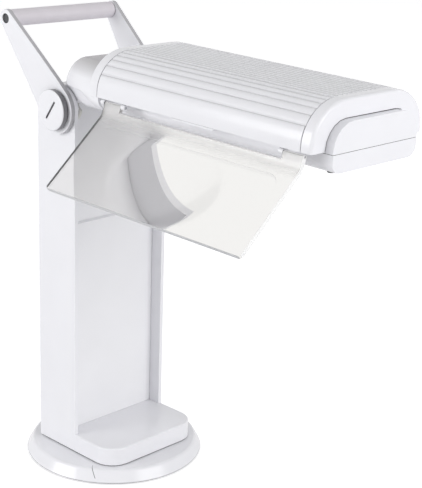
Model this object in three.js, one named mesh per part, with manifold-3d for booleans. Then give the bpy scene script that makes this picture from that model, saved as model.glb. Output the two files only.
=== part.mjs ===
// Folding magnifier task lamp: a column on a swivel disc, a carrying handle,
// a ribbed lamp head that folds down into the column's recess, and a clear
// magnifier that swings along the head's edge. Millimetres, +Z up. The origin is
// on the floor at the middle of the swivel disc, -Y is the front and -X the side
// that carries the magnifier.
import * as THREE from 'three';
import { mergeVertices } from 'three/addons/utils/BufferGeometryUtils.js';
import Module from 'manifold-3d';

const wasm = await Module();
wasm.setup();

// Clearances
const fit = 0.1;
const gap = 0.3;
const overrun = 1;
const weld = 1e-4;

// Swivel base
const discRadius = 76.1;
const discTop = 11.8;
const discTopRadius = 70.6;
const discShoulder = 1.8;
const discWall = 2.6;
const discRimWall = 3.4;
const discEdge = 0.8;
const discSides = 56;
const weightSides = 28;
const plateSides = 32;
const padThick = 1.2;
const padRadius = 6;
const padRing = 62;
const centrePadRadius = 15;
const padCount = 6;
const underplateThick = 2.2;
const spindleRadius = 4;
const spindleHeadRadius = 7.5;
const spindleHeadThick = 3;
const hubRadius = 13;
const bearingRadius = 40;
const footBottom = 12.7;
const spindleNutRadius = 7.5;
const spindleNutThick = 4;
const spindleWasherThick = 1;
const baseScrewRing = 30;

// Column and foot
const postWidth = 100;
const postWall = 3.4;
const postDepth = 46.6;
const postFrontAhead = 6.2;
const footAhead = 45.8;
const footTop = 27.8;
const footCornerRadius = 18;
const footEdgeRadius = 1.4;
const footRoof = 3.4;
const footBackRadius = 1;
const footCurveSteps = 6;
const panelRecess = 11.7;
const panelThick = 2.4;
const pocketDepth = 3.5;
const pocketLength = 96;
const railWidth = 3;
const railThick = 2;
const coverThick = 2.4;
const footPlateThick = 2;
const wallBackCornerRadius = 12;
const topCoverDrop = 1.3;
const screwHeadRadius = 2.7;
const screwHeadThick = 1.5;
const screwRadius = 1.4;
const bossRadius = 3.6;
const rearScrewLow = 60;
const rearScrewDrop = 35;

// Tilt hinge
const pivotHeight = 305;
const pivotBehindFront = 18.7;
const boltRadius = 4;
const knobRadius = 16.4;
const knobThick = 5.4;
const knobEdge = 0.7;
const knobHubRadius = 6.5;
const knobRelief = 0.9;
const knobSides = 36;
const knobSlotLength = 18;
const knobSlotWidth = 1.9;
const knobSlotDepth = 1.6;
const knobSlotAngle = -54;
const lugRadius = 13;
const lugThick = 4;
const lugNeckLowAngle = 28;
const lugNeckHighAngle = 62;
const washerRadius = 12;
const washerThick = 1.2;
const nutThick = 3.2;
const nutRadius = 6.2;

// Carrying handle
const armThick = 3.6;
const armPivotRadius = 19.5;
const armTipRadius = 7.4;
const armLength = 87.7;
const armLean = 42;
const armSplay = 3.7;
const gripRadius = 6.85;
const tipHoleRadius = 4;
const tipHoleDepth = 2.3;
const gripScrewRadius = 1.8;
const gripScrewLength = 12;

// Lamp head, measured from the pivot: forward, up, and half widths
const headPitch = 1.4;
const shellHalf = 60.2;
const shellTop = 54.3;
const shellBottom = 20.5;
const shellCornerWidth = 35;
const shellCornerHeight = 30;
const shellWall = 2.2;
const shellFar = 267.6;
const farTrimLength = 9.2;
const farTrimEdge = 2.6;
const nearTrimBack = 47.8;
const nearTrimFront = 56;
const seamGap = 0.5;
const ribPitch = 5.12;
const ribGrooveWidth = 1.1;
const ribGrooveDepth = 0.55;
const ribBorder = 3.8;

// Lamp body inside the shade
const bodySide = 0.75;
const bodyBottom = 6.4;
const bodyDrop = 13.6;
const bodySeamDrop = 0.75;
const bodyWall = 2.2;
const bodyNose = 6.7;
const bodyTopCorner = 19;
const bodyBottomCorner = 8;
const windowBorder = 14.85;
const windowNear = 60;
const windowEnd = 12.3;
const windowCorner = 6;

// Rounded near end of the head
const domeBack = -2.2;
const domeBackInset = 4.2;
const domeFrontInset = 1.3;
const domeFlare = 0.24;
const domeRise = 1.4;
const domePlanRadius = 8.9;
const domeTopRadius = 15.1;
const domeCornerWidth = 16.8;
const domeCornerHeight = 19.2;
const domeLift = 0.4;
const domeLip = 1;
const cheekStart = 31;
const cheekDrop = 11.2;
const cheekWidth = 10;
const cheekHeight = 12.3;
const bowRadius = 18.5;
const bowBottom = 4.6;
const bowLowest = 38;
const bowEnd = 58;
const bowTopAngle = 82;
const bowFootAngle = 48;
const bowNeckWall = 7.85;
const bowFloor = 3.4;
const bowHollowNear = 22;
const bowHollowSlope = 10;

// Tube, socket and reflector
const tubeRadius = 7.5;
const tubeSides = 14;
const tubeSpacing = 22;
const tubeLift = 3.5;
const tubeEnd = 238;
const tubeBaseHalf = 22;
const tubeBaseHeight = 18;
const tubeBaseNear = 68;
const tubeBaseLength = 18;
const socketNear = 44;
const socketLength = 16;
const pinRadius = 1.2;
const pinSpread = 5;
const reflectorThick = 0.8;
const reflectorTopBorder = 19.65;
const reflectorFootBorder = 7.65;
const reflectorNear = 67;
const reflectorEnd = 16.3;
const clipFromEnd = 38;
const clipWidth = 8;
const clipThick = 0.9;

// Magnifier and its hinge
const lensThick = 3;
const lensNearBorder = 9.6;
const lensFarBorder = 5.8;
const lensPinInset = 1.3;
const lensPinDrop = 2.6;
const lensEarLength = 6;
const lensEarAngle = 17;
const lensSheetAngle = 47.9;
const lensBendRadius = 13;
const lensSheetLength = 68.6;
const lensCorner = 3;
const earWidth = 18;
const slotDepth = 4.5;
const lensPinRadius = 0.8;
const knuckleRadius = 2.1;
const knuckleLength = 4;
const lensRim = 0.4;
const lensCrown = 0.7;
const lensZoneMargin = 9;
const lensZoneCorner = 12;
const lensCornerSteps = 6;
const catchNear = 137;
const catchLength = 43;
const catchDrop = 1.8;
const flangeThick = 2.2;

// Electrical parts inside the column
const ballastWidth = 52;
const ballastDepth = 20;
const ballastHeight = 44;
const coilOverhang = 4;
const bracketThick = 1.6;
const grommetRadius = 5.5;
const grommetBore = 3;
const grommetFlange = 1.6;
const grommetX = 24;
const camStart = 11;
const camRise = 3;
const camThick = 2.8;
const camBore = 6.8;
const plungerRadius = 1.5;
const plungerLength = 14;
const plungerBehind = 1.2;
const wireOpening = 40;
const switchWidth = 7;
const switchDepth = 13.5;
const switchHeight = 18;
const tiltClose = 88;
const tiltOpen = 10;

// Derived places
const half = postWidth / 2;
const innerHalf = half - postWall;
const postFront = -postFrontAhead;
const postBack = postFront + postDepth;
const pivotY = postFront + pivotBehindFront;
const panelFace = postFront + panelRecess;
const pocketFace = panelFace + pocketDepth;
const footFront = postFront - footAhead;
const wallTop = pivotHeight + pivotBehindFront;
const coverFace = postBack;
const armInner = half + gap;
const armOuter = armInner + armThick;
const lugOuter = innerHalf - fit - washerThick - fit;
const lugInner = lugOuter - lugThick;
const pocketBottom = pivotHeight - pocketLength;
const bodyHalf = innerHalf - bodySide;
const bodyTop = shellTop - bodyDrop;
const bodySeam = shellBottom - bodySeamDrop;
const bodyFar = shellFar + bodyNose;
const bodyInner = bodyHalf - bodyWall;
const bodyInnerTop = bodyTop - bodyWall;
const windowHalf = bodyHalf - windowBorder;
const windowFar = bodyFar - windowEnd;
const domeBackHalf = half - domeBackInset;
const domeFrontHalf = shellHalf - domeFrontInset;
const domeTop = bodyTop + domeRise;
const domeBottom = shellBottom + domeLift;
const bowNeckHalf = bodyHalf - bowNeckWall;
const tubeHeight = shellBottom + tubeLift;
const reflectorTopHalf = bodyInner - reflectorTopBorder;
const reflectorFootHalf = bodyInner - reflectorFootBorder;
const reflectorFoot = shellBottom + fit;
const reflectorFar = bodyFar - reflectorEnd;
const clipPlace = tubeEnd - clipFromEnd;
const lensNear = nearTrimFront + lensNearBorder;
const lensFar = shellFar - lensFarBorder;
const lensPinX = shellHalf - lensPinInset;
const lensPinHeight = shellBottom - lensPinDrop;
const slotBottom = lensPinHeight - slotDepth;
const flangeBottom = shellBottom + fit;

const radians = THREE.MathUtils.degToRad;
const X = new THREE.Vector3(1, 0, 0);
const Y = new THREE.Vector3(0, 1, 0);
const Z = new THREE.Vector3(0, 0, 1);

// A closed mesh as a solid: shared vertices merged, faces pointing out.
function solid(geometry) {
  const bare = geometry.clone();
  bare.deleteAttribute('normal');
  bare.deleteAttribute('uv');
  const merged = mergeVertices(bare, weld);
  const place = merged.getAttribute('position');
  const index = merged.getIndex().array;
  const faces = [];
  let volume = 0;
  const a = new THREE.Vector3();
  const b = new THREE.Vector3();
  const c = new THREE.Vector3();
  for (let i = 0; i < index.length; i += 3) {
    const [p, q, r] = [index[i], index[i + 1], index[i + 2]];
    if (p === q || q === r || r === p) continue;
    a.fromBufferAttribute(place, p);
    b.fromBufferAttribute(place, q);
    c.fromBufferAttribute(place, r);
    volume += a.dot(b.cross(c));
    faces.push(p, q, r);
  }
  if (volume < 0) faces.reverse();
  return new wasm.Manifold(new wasm.Mesh({
    numProp: 3,
    vertProperties: new Float32Array(place.array),
    triVerts: new Uint32Array(faces),
  }));
}

function geometryOf(body) {
  const mesh = body.getMesh();
  const geometry = new THREE.BufferGeometry();
  geometry.setAttribute('position', new THREE.BufferAttribute(new Float32Array(mesh.vertProperties), 3));
  geometry.setIndex(new THREE.BufferAttribute(new Uint32Array(mesh.triVerts), 1));
  geometry.computeVertexNormals();
  return geometry;
}

const join = (...bodies) => bodies.reduce((whole, next) => whole.add(next));
const cut = (body, ...tools) => tools.reduce((whole, tool) => whole.subtract(tool), body);

function outline(points) {
  return new THREE.Shape(points.map(([u, v]) => new THREE.Vector2(u, v)));
}

// Prisms: a profile drawn across the axis, pushed along it from one place to another.
function prism(shape, basis, from, to, curveSegments = 10) {
  const settings = { depth: Math.abs(to - from), bevelEnabled: false, curveSegments };
  return new THREE.ExtrudeGeometry(shape, settings).applyMatrix4(basis);
}

const upright = new THREE.Matrix4();
const alongXBasis = new THREE.Matrix4().makeBasis(Y, Z, X);
const alongYBasis = new THREE.Matrix4().makeBasis(X, Z, Y.clone().negate());

function prismX(shape, from, to, curveSegments) {
  return solid(prism(shape, alongXBasis, from, to, curveSegments).translate(Math.min(from, to), 0, 0));
}

function prismY(shape, from, to, curveSegments) {
  return solid(prism(shape, alongYBasis, from, to, curveSegments).translate(0, Math.max(from, to), 0));
}

function prismZ(shape, from, to, curveSegments) {
  return solid(prism(shape, upright, from, to, curveSegments).translate(0, 0, Math.min(from, to)));
}

function block(x0, x1, y0, y1, z0, z1) {
  const geometry = new THREE.BoxGeometry(x1 - x0, y1 - y0, z1 - z0);
  return solid(geometry.translate((x0 + x1) / 2, (y0 + y1) / 2, (z0 + z1) / 2));
}

function rodX(radius, x0, x1, y, z, sides = 24) {
  const geometry = new THREE.CylinderGeometry(radius, radius, x1 - x0, sides);
  return solid(geometry.rotateZ(-Math.PI / 2).translate((x0 + x1) / 2, y, z));
}

function rodY(radius, y0, y1, x, z, sides = 14) {
  const geometry = new THREE.CylinderGeometry(radius, radius, y1 - y0, sides);
  return solid(geometry.translate(x, (y0 + y1) / 2, z));
}

function rodZ(radius, z0, z1, x, y, sides = 14) {
  const geometry = new THREE.CylinderGeometry(radius, radius, z1 - z0, sides);
  return solid(geometry.rotateX(Math.PI / 2).translate(x, y, (z0 + z1) / 2));
}

// A profile of radius and height, turned about the vertical axis.
function turned(points, sides = discSides) {
  const profile = points.map(([r, z]) => new THREE.Vector2(r, z));
  profile.push(profile[0].clone());
  return solid(new THREE.LatheGeometry(profile, sides).rotateX(Math.PI / 2));
}

// Loops of points, each at its own place along the third axis, skinned and closed at both ends.
function loft(sections, basis) {
  const count = sections[0].loop.length;
  const positions = sections.flatMap(({ loop, at }) => loop.flatMap(([u, v]) => [u, v, at]));
  const index = [];
  for (let ring = 0; ring + 1 < sections.length; ring += 1) {
    for (let i = 0; i < count; i += 1) {
      const next = (i + 1) % count;
      const a = ring * count + i;
      const b = ring * count + next;
      index.push(a, b, b + count, a, b + count, a + count);
    }
  }
  const flat = (loop) => loop.map(([u, v]) => new THREE.Vector2(u, v));
  const first = THREE.ShapeUtils.triangulateShape(flat(sections[0].loop), []);
  const last = THREE.ShapeUtils.triangulateShape(flat(sections.at(-1).loop), []);
  const end = (sections.length - 1) * count;
  const clockwise = THREE.ShapeUtils.isClockWise(flat(sections[0].loop));
  const near = ([a, b, c]) => (clockwise ? [a, b, c] : [a, c, b]);
  const far = ([a, b, c]) => (clockwise ? [end + a, end + c, end + b] : [end + a, end + b, end + c]);
  first.forEach((face) => index.push(...near(face)));
  last.forEach((face) => index.push(...far(face)));
  const geometry = new THREE.BufferGeometry();
  geometry.setAttribute('position', new THREE.Float32BufferAttribute(positions, 3));
  geometry.setIndex(index);
  return solid(geometry.applyMatrix4(basis));
}

// A flat loop of right-angled corners, each rounded by its own radius.
function roundedPoints(corners, steps = 5) {
  return corners.flatMap(([x, y, radius], i) => {
    if (radius <= 0) return [[x, y]];
    const [px, py] = corners.at(i - 1);
    const [nx, ny] = corners[(i + 1) % corners.length];
    const here = new THREE.Vector2(x, y);
    const back = new THREE.Vector2(px, py).sub(here).setLength(radius);
    const ahead = new THREE.Vector2(nx, ny).sub(here).setLength(radius);
    const points = [];
    for (let k = 0; k <= steps; k += 1) {
      const angle = (Math.PI / 2) * (k / steps);
      const point = here.clone()
        .addScaledVector(back, 1 - Math.sin(angle))
        .addScaledVector(ahead, 1 - Math.cos(angle));
      points.push([point.x, point.y]);
    }
    return points;
  });
}

const roundedLoop = (corners, steps) => outline(roundedPoints(corners, steps));

const white = { color: 0xf0f0f2, roughness: 0.28, metalness: 0 };
const panelWhite = { color: 0xe8e8eb, roughness: 0.22, metalness: 0 };
const gripGrey = { color: 0xcfcbd0, roughness: 0.5, metalness: 0 };
const rubber = { color: 0x2b2b2d, roughness: 0.9, metalness: 0 };
const nylon = { color: 0xdcdcd8, roughness: 0.6, metalness: 0 };
const steel = { color: 0xb4b6ba, roughness: 0.35, metalness: 1 };
const darkSteel = { color: 0x55565a, roughness: 0.45, metalness: 1 };
const castIron = { color: 0x4a4a4c, roughness: 0.8, metalness: 0.6 };
const brass = { color: 0xc9a24a, roughness: 0.35, metalness: 1 };
const copper = { color: 0xa5602f, roughness: 0.5, metalness: 0.6 };
const blackPlastic = { color: 0x242426, roughness: 0.5, metalness: 0 };
const bright = { color: 0xe6e8ea, roughness: 0.18, metalness: 1 };
const phosphor = { color: 0xfafafa, roughness: 0.35, metalness: 0 };
const clear = { color: 0xeef1f0, roughness: 0.04, metalness: 0 };

const lamp = new THREE.Group();
const head = new THREE.Group();
head.position.set(0, pivotY, pivotHeight);
head.rotation.x = radians(headPitch);
const handle = new THREE.Group();
handle.position.set(0, pivotY, pivotHeight);
handle.rotation.x = radians(-armLean);
lamp.add(head, handle);

function part(name, body, look, parent = lamp) {
  const mesh = new THREE.Mesh(geometryOf(body), new THREE.MeshStandardMaterial(look));
  mesh.name = name;
  parent.add(mesh);
}

// The same fastener at several places, each its own numbered piece.
function repeated(name, places, build, look, parent = lamp) {
  places.forEach((place, i) => part(`${name}_${i + 1}`, build(place), look, parent));
}

const flankSlope = (discRadius - discTopRadius) / (discTop - padThick);
const flankInner = discRadius - discRimWall - flankSlope * (discTop - discWall - padThick);

// The disc: a flat top, a steep conical flank with a soft shoulder, hollow underneath round its hub.
function swivelDisc() {
  const hubBottom = padThick + underplateThick + fit + spindleHeadThick + fit;
  const shoulder = [];
  const steps = 2;
  for (let i = 0; i <= steps; i += 1) {
    const share = i / steps;
    const across = discTopRadius - discShoulder + 2 * discShoulder * share - discShoulder * share * share;
    const fall = discShoulder * share * share;
    shoulder.push([across + flankSlope * fall, discTop - fall]);
  }
  return turned([
    [spindleRadius + gap, discTop],
    ...shoulder,
    [discRadius, padThick + discEdge],
    [discRadius - discEdge, padThick],
    [discRadius - discRimWall, padThick],
    [flankInner, discTop - discWall],
    [hubRadius, discTop - discWall],
    [hubRadius, hubBottom],
    [spindleRadius + gap, hubBottom],
  ]);
}

// The weight fills the hollow of the disc between the hub and the rim.
function baseWeight() {
  const bottom = padThick + underplateThick + fit;
  const outer = flankInner - 2 * gap;
  const roof = discTop - discWall - gap;
  return turned([
    [hubRadius + gap, bottom],
    [outer, bottom],
    [outer, roof],
    [hubRadius + gap, roof],
  ], weightSides);
}

function baseUnderplate() {
  const outer = discRadius - discRimWall - flankSlope * underplateThick - 2 * gap;
  const plate = turned([
    [hubRadius + gap, padThick],
    [outer, padThick],
    [outer, padThick + underplateThick],
    [hubRadius + gap, padThick + underplateThick],
  ], plateSides);
  return plate;
}

// One rubber moulding: a centre pad and six outer pads on thin webs.
function rubberMat() {
  const top = padThick - fit;
  const pieces = [rodZ(centrePadRadius, 0, top, 0, 0, 20)];
  for (let i = 0; i < padCount; i += 1) {
    const angle = (i * 2 * Math.PI) / padCount;
    pieces.push(rodZ(padRadius, 0, top, padRing * Math.cos(angle), padRing * Math.sin(angle), 12));
    const web = new THREE.BoxGeometry(padRing, padRadius, padThick / 2);
    pieces.push(solid(web.translate(padRing / 2, 0, top - padThick / 4).rotateZ(angle)));
  }
  return join(...pieces);
}

function swivelSpindle() {
  const bottom = padThick + underplateThick + fit;
  const top = footBottom + footPlateThick + spindleWasherThick + spindleNutThick + 2 * gap;
  const headDisc = rodZ(spindleHeadRadius, bottom, bottom + spindleHeadThick, 0, 0, 6);
  return join(headDisc, rodZ(spindleRadius, bottom, top, 0, 0, 16));
}

function spindleNut() {
  const plateTop = footBottom + footPlateThick + gap;
  const washerTop = plateTop + spindleWasherThick;
  const washer = rodZ(spindleNutRadius + spindleWasherThick, plateTop, washerTop, 0, 0, 20);
  const nut = rodZ(spindleNutRadius, washerTop, washerTop + spindleNutThick, 0, 0, 6);
  const bore = rodZ(spindleRadius + fit, plateTop - overrun, plateTop + spindleNutThick * 2, 0, 0, 16);
  return cut(join(washer, nut), bore);
}

function swivelBearing() {
  return turned([
    [spindleRadius + gap, discTop + fit],
    [bearingRadius, discTop + fit],
    [bearingRadius, footBottom - gap],
    [spindleRadius + gap, footBottom - gap],
  ], plateSides);
}

// An upright screw with its head below.
function screwZ([x, y], bottom, length) {
  const shank = rodZ(screwRadius, bottom, bottom + length, x, y, 10);
  return join(shank, rodZ(screwHeadRadius, bottom - screwHeadThick, bottom, x, y, 12));
}

const baseScrewPlaces = [[-baseScrewRing, 0], [baseScrewRing, 0]];

function baseParts() {
  const screwTop = discTop - discWall / 2;
  const sinkTop = padThick + screwHeadThick + fit;
  const holes = baseScrewPlaces.map(([x, y]) => rodZ(screwRadius + fit, -overrun, screwTop, x, y, 10));
  const sinks = baseScrewPlaces.map(([x, y]) => rodZ(screwHeadRadius + fit, -overrun, sinkTop, x, y, 12));
  part('swivel_disc', cut(swivelDisc(), ...holes), white);
  part('base_weight', cut(baseWeight(), ...holes), castIron);
  part('base_underplate', cut(baseUnderplate(), ...holes, ...sinks), steel);
  part('rubber_feet', rubberMat(), rubber);
  part('swivel_spindle', swivelSpindle(), steel);
  part('spindle_nut', spindleNut(), steel);
  part('swivel_bearing', swivelBearing(), nylon);
  const low = padThick + screwHeadThick;
  repeated('base_screw', baseScrewPlaces, (place) => screwZ(place, low, screwTop - fit - low), steel);
}

// Plan of the foot: the column's width, square at the back, large round corners in front.
function footPlan(inset) {
  const x = half - inset;
  const back = postBack - inset;
  const front = footFront + inset;
  const radius = footCornerRadius - inset;
  const corner = footBackRadius;
  const corners = [[-x, front, radius], [x, front, radius], [x, back, corner], [-x, back, corner]];
  return roundedPoints(corners, footCurveSteps);
}

// The foot's top edge is rounded all along its plan.
function footBlock() {
  const steps = 3;
  const sections = [{ loop: footPlan(0), at: footBottom }];
  for (let i = 0; i <= steps; i += 1) {
    const angle = (Math.PI / 2) * (i / steps);
    const inset = footEdgeRadius * (1 - Math.cos(angle));
    sections.push({ loop: footPlan(inset), at: footTop - footEdgeRadius * (1 - Math.sin(angle)) });
  }
  return loft(sections, upright);
}

// Side of a column wall: straight front edge, a round end about the pivot, a rounded back corner.
function wallSide() {
  const shape = new THREE.Shape();
  shape.moveTo(postFront, footBottom);
  shape.lineTo(postBack, footBottom);
  shape.lineTo(postBack, wallTop - wallBackCornerRadius);
  shape.absarc(postBack - wallBackCornerRadius, wallTop - wallBackCornerRadius, wallBackCornerRadius,
    0, Math.PI / 2, false);
  shape.lineTo(pivotY, wallTop);
  shape.absarc(pivotY, pivotHeight, pivotBehindFront, Math.PI / 2, Math.PI, false);
  shape.closePath();
  return shape;
}

const rearScrewX = innerHalf - bossRadius - fit;
const rearScrewPlaces = [[-rearScrewX, pivotHeight - rearScrewDrop], [rearScrewX, rearScrewLow]];
const footScrewX = half - postWall - bossRadius - fit;
const footScrewFront = footFront + footCornerRadius + bossRadius;
const footScrewBack = postBack - postWall - bossRadius - fit;
const footScrewPlaces = [[-footScrewX, footScrewFront], [footScrewX, footScrewBack]];

function columnBody() {
  const plateSeat = footBottom + footPlateThick + fit;
  const foot = cut(
    footBlock(),
    prismZ(outline(footPlan(postWall)), footBottom - overrun, footTop - footRoof),
    block(-wireOpening / 2, wireOpening / 2, ballastFront, postBack - postWall,
      footBottom, footTop + overrun),
  );
  const walls = [-1, 1].map((side) => prismX(wallSide(), side * innerHalf, side * half, 10));
  const rails = [-1, 1].map((side) => {
    const x0 = side < 0 ? -innerHalf - fit : innerHalf - railWidth;
    const back = pocketFace + panelThick + fit;
    const top = switchTop - switchHeight - gap;
    return block(x0, x0 + railWidth + fit, back, back + railThick, footTop - fit, top);
  });
  const bosses = rearScrewPlaces.map(([x, z]) => {
    const back = coverFace - coverThick - fit;
    const root = Math.sign(x) * (innerHalf + fit);
    const web = block(Math.min(x, root), Math.max(x, root), back - 3 * bossRadius, back,
      z - screwRadius, z + screwRadius);
    return join(rodY(bossRadius, back - 3 * bossRadius, back, x, z), web);
  });
  const roofUnder = footTop - footRoof;
  const footBosses = footScrewPlaces.map(([x, y]) => rodZ(bossRadius, plateSeat, roofUnder + fit, x, y));
  const whole = join(foot, ...walls, ...rails, ...bosses, ...footBosses);
  const boltHoles = rodX(boltRadius + gap, -half - overrun, half + overrun, pivotY, pivotHeight);
  const hole = screwRadius + fit;
  const screwHoles = rearScrewPlaces.map(([x, z]) => (
    rodY(hole, postBack - 4 * bossRadius, postBack, x, z, 10)));
  const plateHoles = footScrewPlaces.map(([x, y]) => rodZ(hole, footBottom, roofUnder - fit, x, y, 10));
  const inletZ = (footBottom + footPlateThick + roofUnder) / 2;
  const inletRadius = grommetBore + grommetFlange + fit;
  const inlet = rodY(inletRadius, postBack - postWall - overrun, postBack + overrun, grommetX, inletZ);
  return cut(whole, boltHoles, ...screwHoles, ...plateHoles, inlet);
}

// The recessed front panel: a lower face, and above the ledge a deeper pocket for the
// rounded end of the folded head. Notches at its top let the hinge lugs swing.
function frontPanel() {
  const x = innerHalf - fit;
  const ledge = pocketDepth / 3;
  const top = wallTop - topCoverDrop - panelThick;
  const side = outline([
    [panelFace, footTop + fit],
    [panelFace + panelThick, footTop + fit],
    [panelFace + panelThick, pocketBottom - panelThick],
    [pocketFace + panelThick, pocketBottom - panelThick + ledge],
    [pocketFace + panelThick, top],
    [pocketFace, top],
    [pocketFace, pocketBottom + ledge],
    [panelFace, pocketBottom],
  ]);
  const notchInner = lugInner - nutThick - overrun - 2 * gap;
  const notchBottom = pivotHeight - lugRadius - 3 * gap;
  const notches = [-1, 1].map((s) => block(
    s < 0 ? -half : notchInner, s < 0 ? -notchInner : half,
    pocketFace - overrun, pocketFace + panelThick + overrun, notchBottom - lugRadius, wallTop));
  return cut(prismX(side, -x, x), ...notches);
}

// The cover over the top of the column, under the walls' own round edges.
function topCover() {
  const x = innerHalf - fit;
  const top = wallTop - topCoverDrop;
  const radius = wallBackCornerRadius - topCoverDrop;
  const back = postBack - topCoverDrop;
  const thick = panelThick - fit;
  const shape = new THREE.Shape();
  shape.moveTo(pocketFace, top);
  shape.lineTo(pocketFace, top - thick);
  shape.lineTo(back - radius, top - thick);
  shape.absarc(back - radius, top - radius, radius - thick, Math.PI / 2, 0, true);
  shape.lineTo(back, top - radius);
  shape.absarc(back - radius, top - radius, radius, 0, Math.PI / 2, false);
  shape.closePath();
  const notches = [-1, 1].map((s) => block(
    s < 0 ? -half : lugInner - gap, s < 0 ? -lugInner + gap : half,
    pocketFace - overrun, pivotY + lugThick, top - 2 * panelThick, top + overrun));
  return cut(prismX(shape, -x, x, 12), ...notches);
}

function rearCover() {
  const x = innerHalf - fit;
  const top = wallTop - wallBackCornerRadius - fit;
  const plate = block(-x, x, coverFace - coverThick, coverFace, footTop + fit, top);
  const holes = rearScrewPlaces.map(([sx, sz]) => join(
    rodY(screwRadius + fit, coverFace - coverThick - overrun, coverFace + overrun, sx, sz, 10),
    rodY(screwHeadRadius + fit, coverFace - screwHeadThick - fit, coverFace + overrun, sx, sz, 16)));
  return cut(plate, ...holes);
}

function rearScrew([x, z]) {
  return join(
    rodY(screwRadius, coverFace - 3 * bossRadius, coverFace - screwHeadThick, x, z, 10),
    rodY(screwHeadRadius, coverFace - screwHeadThick, coverFace - fit, x, z, 12));
}

function footPlate() {
  const plate = prismZ(outline(footPlan(postWall + fit)), footBottom, footBottom + footPlateThick);
  const holes = footScrewPlaces.map(([x, y]) => rodZ(screwRadius + fit, 0, footTop, x, y, 10));
  const sinkTop = footBottom + screwHeadThick + fit;
  const sinks = footScrewPlaces.map(([x, y]) => rodZ(screwHeadRadius + fit, 0, sinkTop, x, y, 16));
  return cut(plate, rodZ(spindleRadius + gap, 0, footTop, 0, 0, 16), ...holes, ...sinks);
}

function footWeight() {
  const top = footTop - footRoof - gap;
  const plate = prismZ(outline(footPlan(postWall + gap)), footBottom + footPlateThick + fit, top);
  const free = footScrewPlaces.map(([x, y]) => rodZ(bossRadius + gap, 0, footTop, x, y));
  const back = -spindleNutRadius - spindleWasherThick - 2 * gap;
  return cut(plate, block(-postWidth, postWidth, back, postWidth, 0, footTop), ...free);
}

function cordGrommet() {
  const z = (footBottom + footPlateThick + footTop - footRoof) / 2;
  const body = join(
    rodY(grommetBore + grommetFlange, postBack - postWall - grommetFlange, postBack + grommetFlange,
      grommetX, z),
    rodY(grommetRadius, postBack + fit, postBack + grommetFlange, grommetX, z));
  return cut(body, rodY(grommetBore, 0, postWidth, grommetX, z));
}

const ballastBottom = footTop + fit + bracketThick + fit;
const ballastFront = pocketFace + panelThick + railThick + gap;
const bracketScrewX = ballastWidth / 2 + 2 * screwHeadRadius;

function ballastBracket() {
  const reach = bracketScrewX + screwHeadRadius + overrun;
  const plate = block(-innerHalf + gap, innerHalf - gap, ballastFront, coverFace - coverThick - gap,
    footTop + fit, footTop + fit + bracketThick);
  const lips = [-1, 1].map((s) => block(
    s < 0 ? -ballastWidth / 2 - bracketThick - fit : ballastWidth / 2 + fit,
    s < 0 ? -ballastWidth / 2 - fit : ballastWidth / 2 + bracketThick + fit,
    ballastFront, ballastFront + ballastDepth, footTop + fit, ballastBottom + ballastHeight / 3));
  const middle = ballastFront + ballastDepth / 2;
  const holes = [-1, 1].map((s) => rodZ(screwRadius + fit, 0, ballastBottom, s * reach, middle));
  return cut(join(plate, ...lips), ...holes);
}

// Laminated core with two windows, and the winding round its middle leg.
function ballastCore() {
  const back = ballastFront + ballastDepth;
  const core = block(-ballastWidth / 2, ballastWidth / 2, ballastFront + coilOverhang, back - coilOverhang,
    ballastBottom, ballastBottom + ballastHeight);
  const leg = ballastWidth / 6;
  const windows = [-1, 1].map((s) => block(
    s < 0 ? -ballastWidth / 2 + leg : leg, s < 0 ? -leg : ballastWidth / 2 - leg,
    0, postWidth, ballastBottom + leg, ballastBottom + ballastHeight - leg));
  return cut(core, ...windows);
}

function ballastCoil() {
  const leg = ballastWidth / 6;
  const low = ballastBottom + leg + gap;
  const high = ballastBottom + ballastHeight - leg - gap;
  const outer = block(-2 * leg + gap, 2 * leg - gap, ballastFront + gap, ballastFront + ballastDepth - gap,
    low, high);
  const bore = block(-leg - gap, leg + gap, ballastFront + coilOverhang - gap,
    ballastFront + ballastDepth - coilOverhang + gap, low - overrun, high + overrun);
  return cut(outer, bore);
}

const camOuterX = lugInner - fit;
const plungerX = -(camOuterX - camThick / 2);
const switchTop = pivotHeight - camStart - camRise - gap - plungerLength / 2;

// A spiral cam on the left hinge lug: its radius under the pivot grows evenly as the head closes.
function switchCam() {
  const points = [];
  const steps = 20;
  const sweep = radians(tiltClose + tiltOpen);
  const start = -Math.PI / 2 - radians(headPitch);
  for (let i = 0; i <= steps; i += 1) {
    const share = i / steps;
    const angle = start + radians(tiltOpen) - share * sweep;
    const radius = camStart + camRise * (share * (tiltClose + tiltOpen) - tiltOpen) / tiltClose;
    points.push([radius * Math.cos(angle), radius * Math.sin(angle)]);
  }
  const low = camStart - (camRise * tiltOpen) / tiltClose;
  const rest = 2 * Math.PI - sweep;
  for (let i = 1; i < steps; i += 1) {
    const angle = start + radians(tiltOpen) - sweep - (i / steps) * rest;
    points.push([low * Math.cos(angle), low * Math.sin(angle)]);
  }
  const plate = prismX(outline(points), -camOuterX, -camOuterX + camThick);
  return cut(plate, rodX(camBore, -postWidth, 0, 0, 0, 24));
}

function switchPlunger() {
  const top = pivotHeight - camStart - gap;
  return rodZ(plungerRadius, top - plungerLength, top, plungerX, pivotY + plungerBehind, 16);
}

function interlockSwitch() {
  const x0 = -innerHalf + fit;
  const front = pocketFace + panelThick + gap;
  const body = block(x0, plungerX + switchWidth / 2, front, front + switchDepth,
    switchTop - switchHeight, switchTop);
  const place = pivotY + plungerBehind;
  const bore = rodZ(plungerRadius + gap, switchTop - plungerLength, switchTop + overrun, plungerX, place, 16);
  return cut(body, bore);
}

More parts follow.
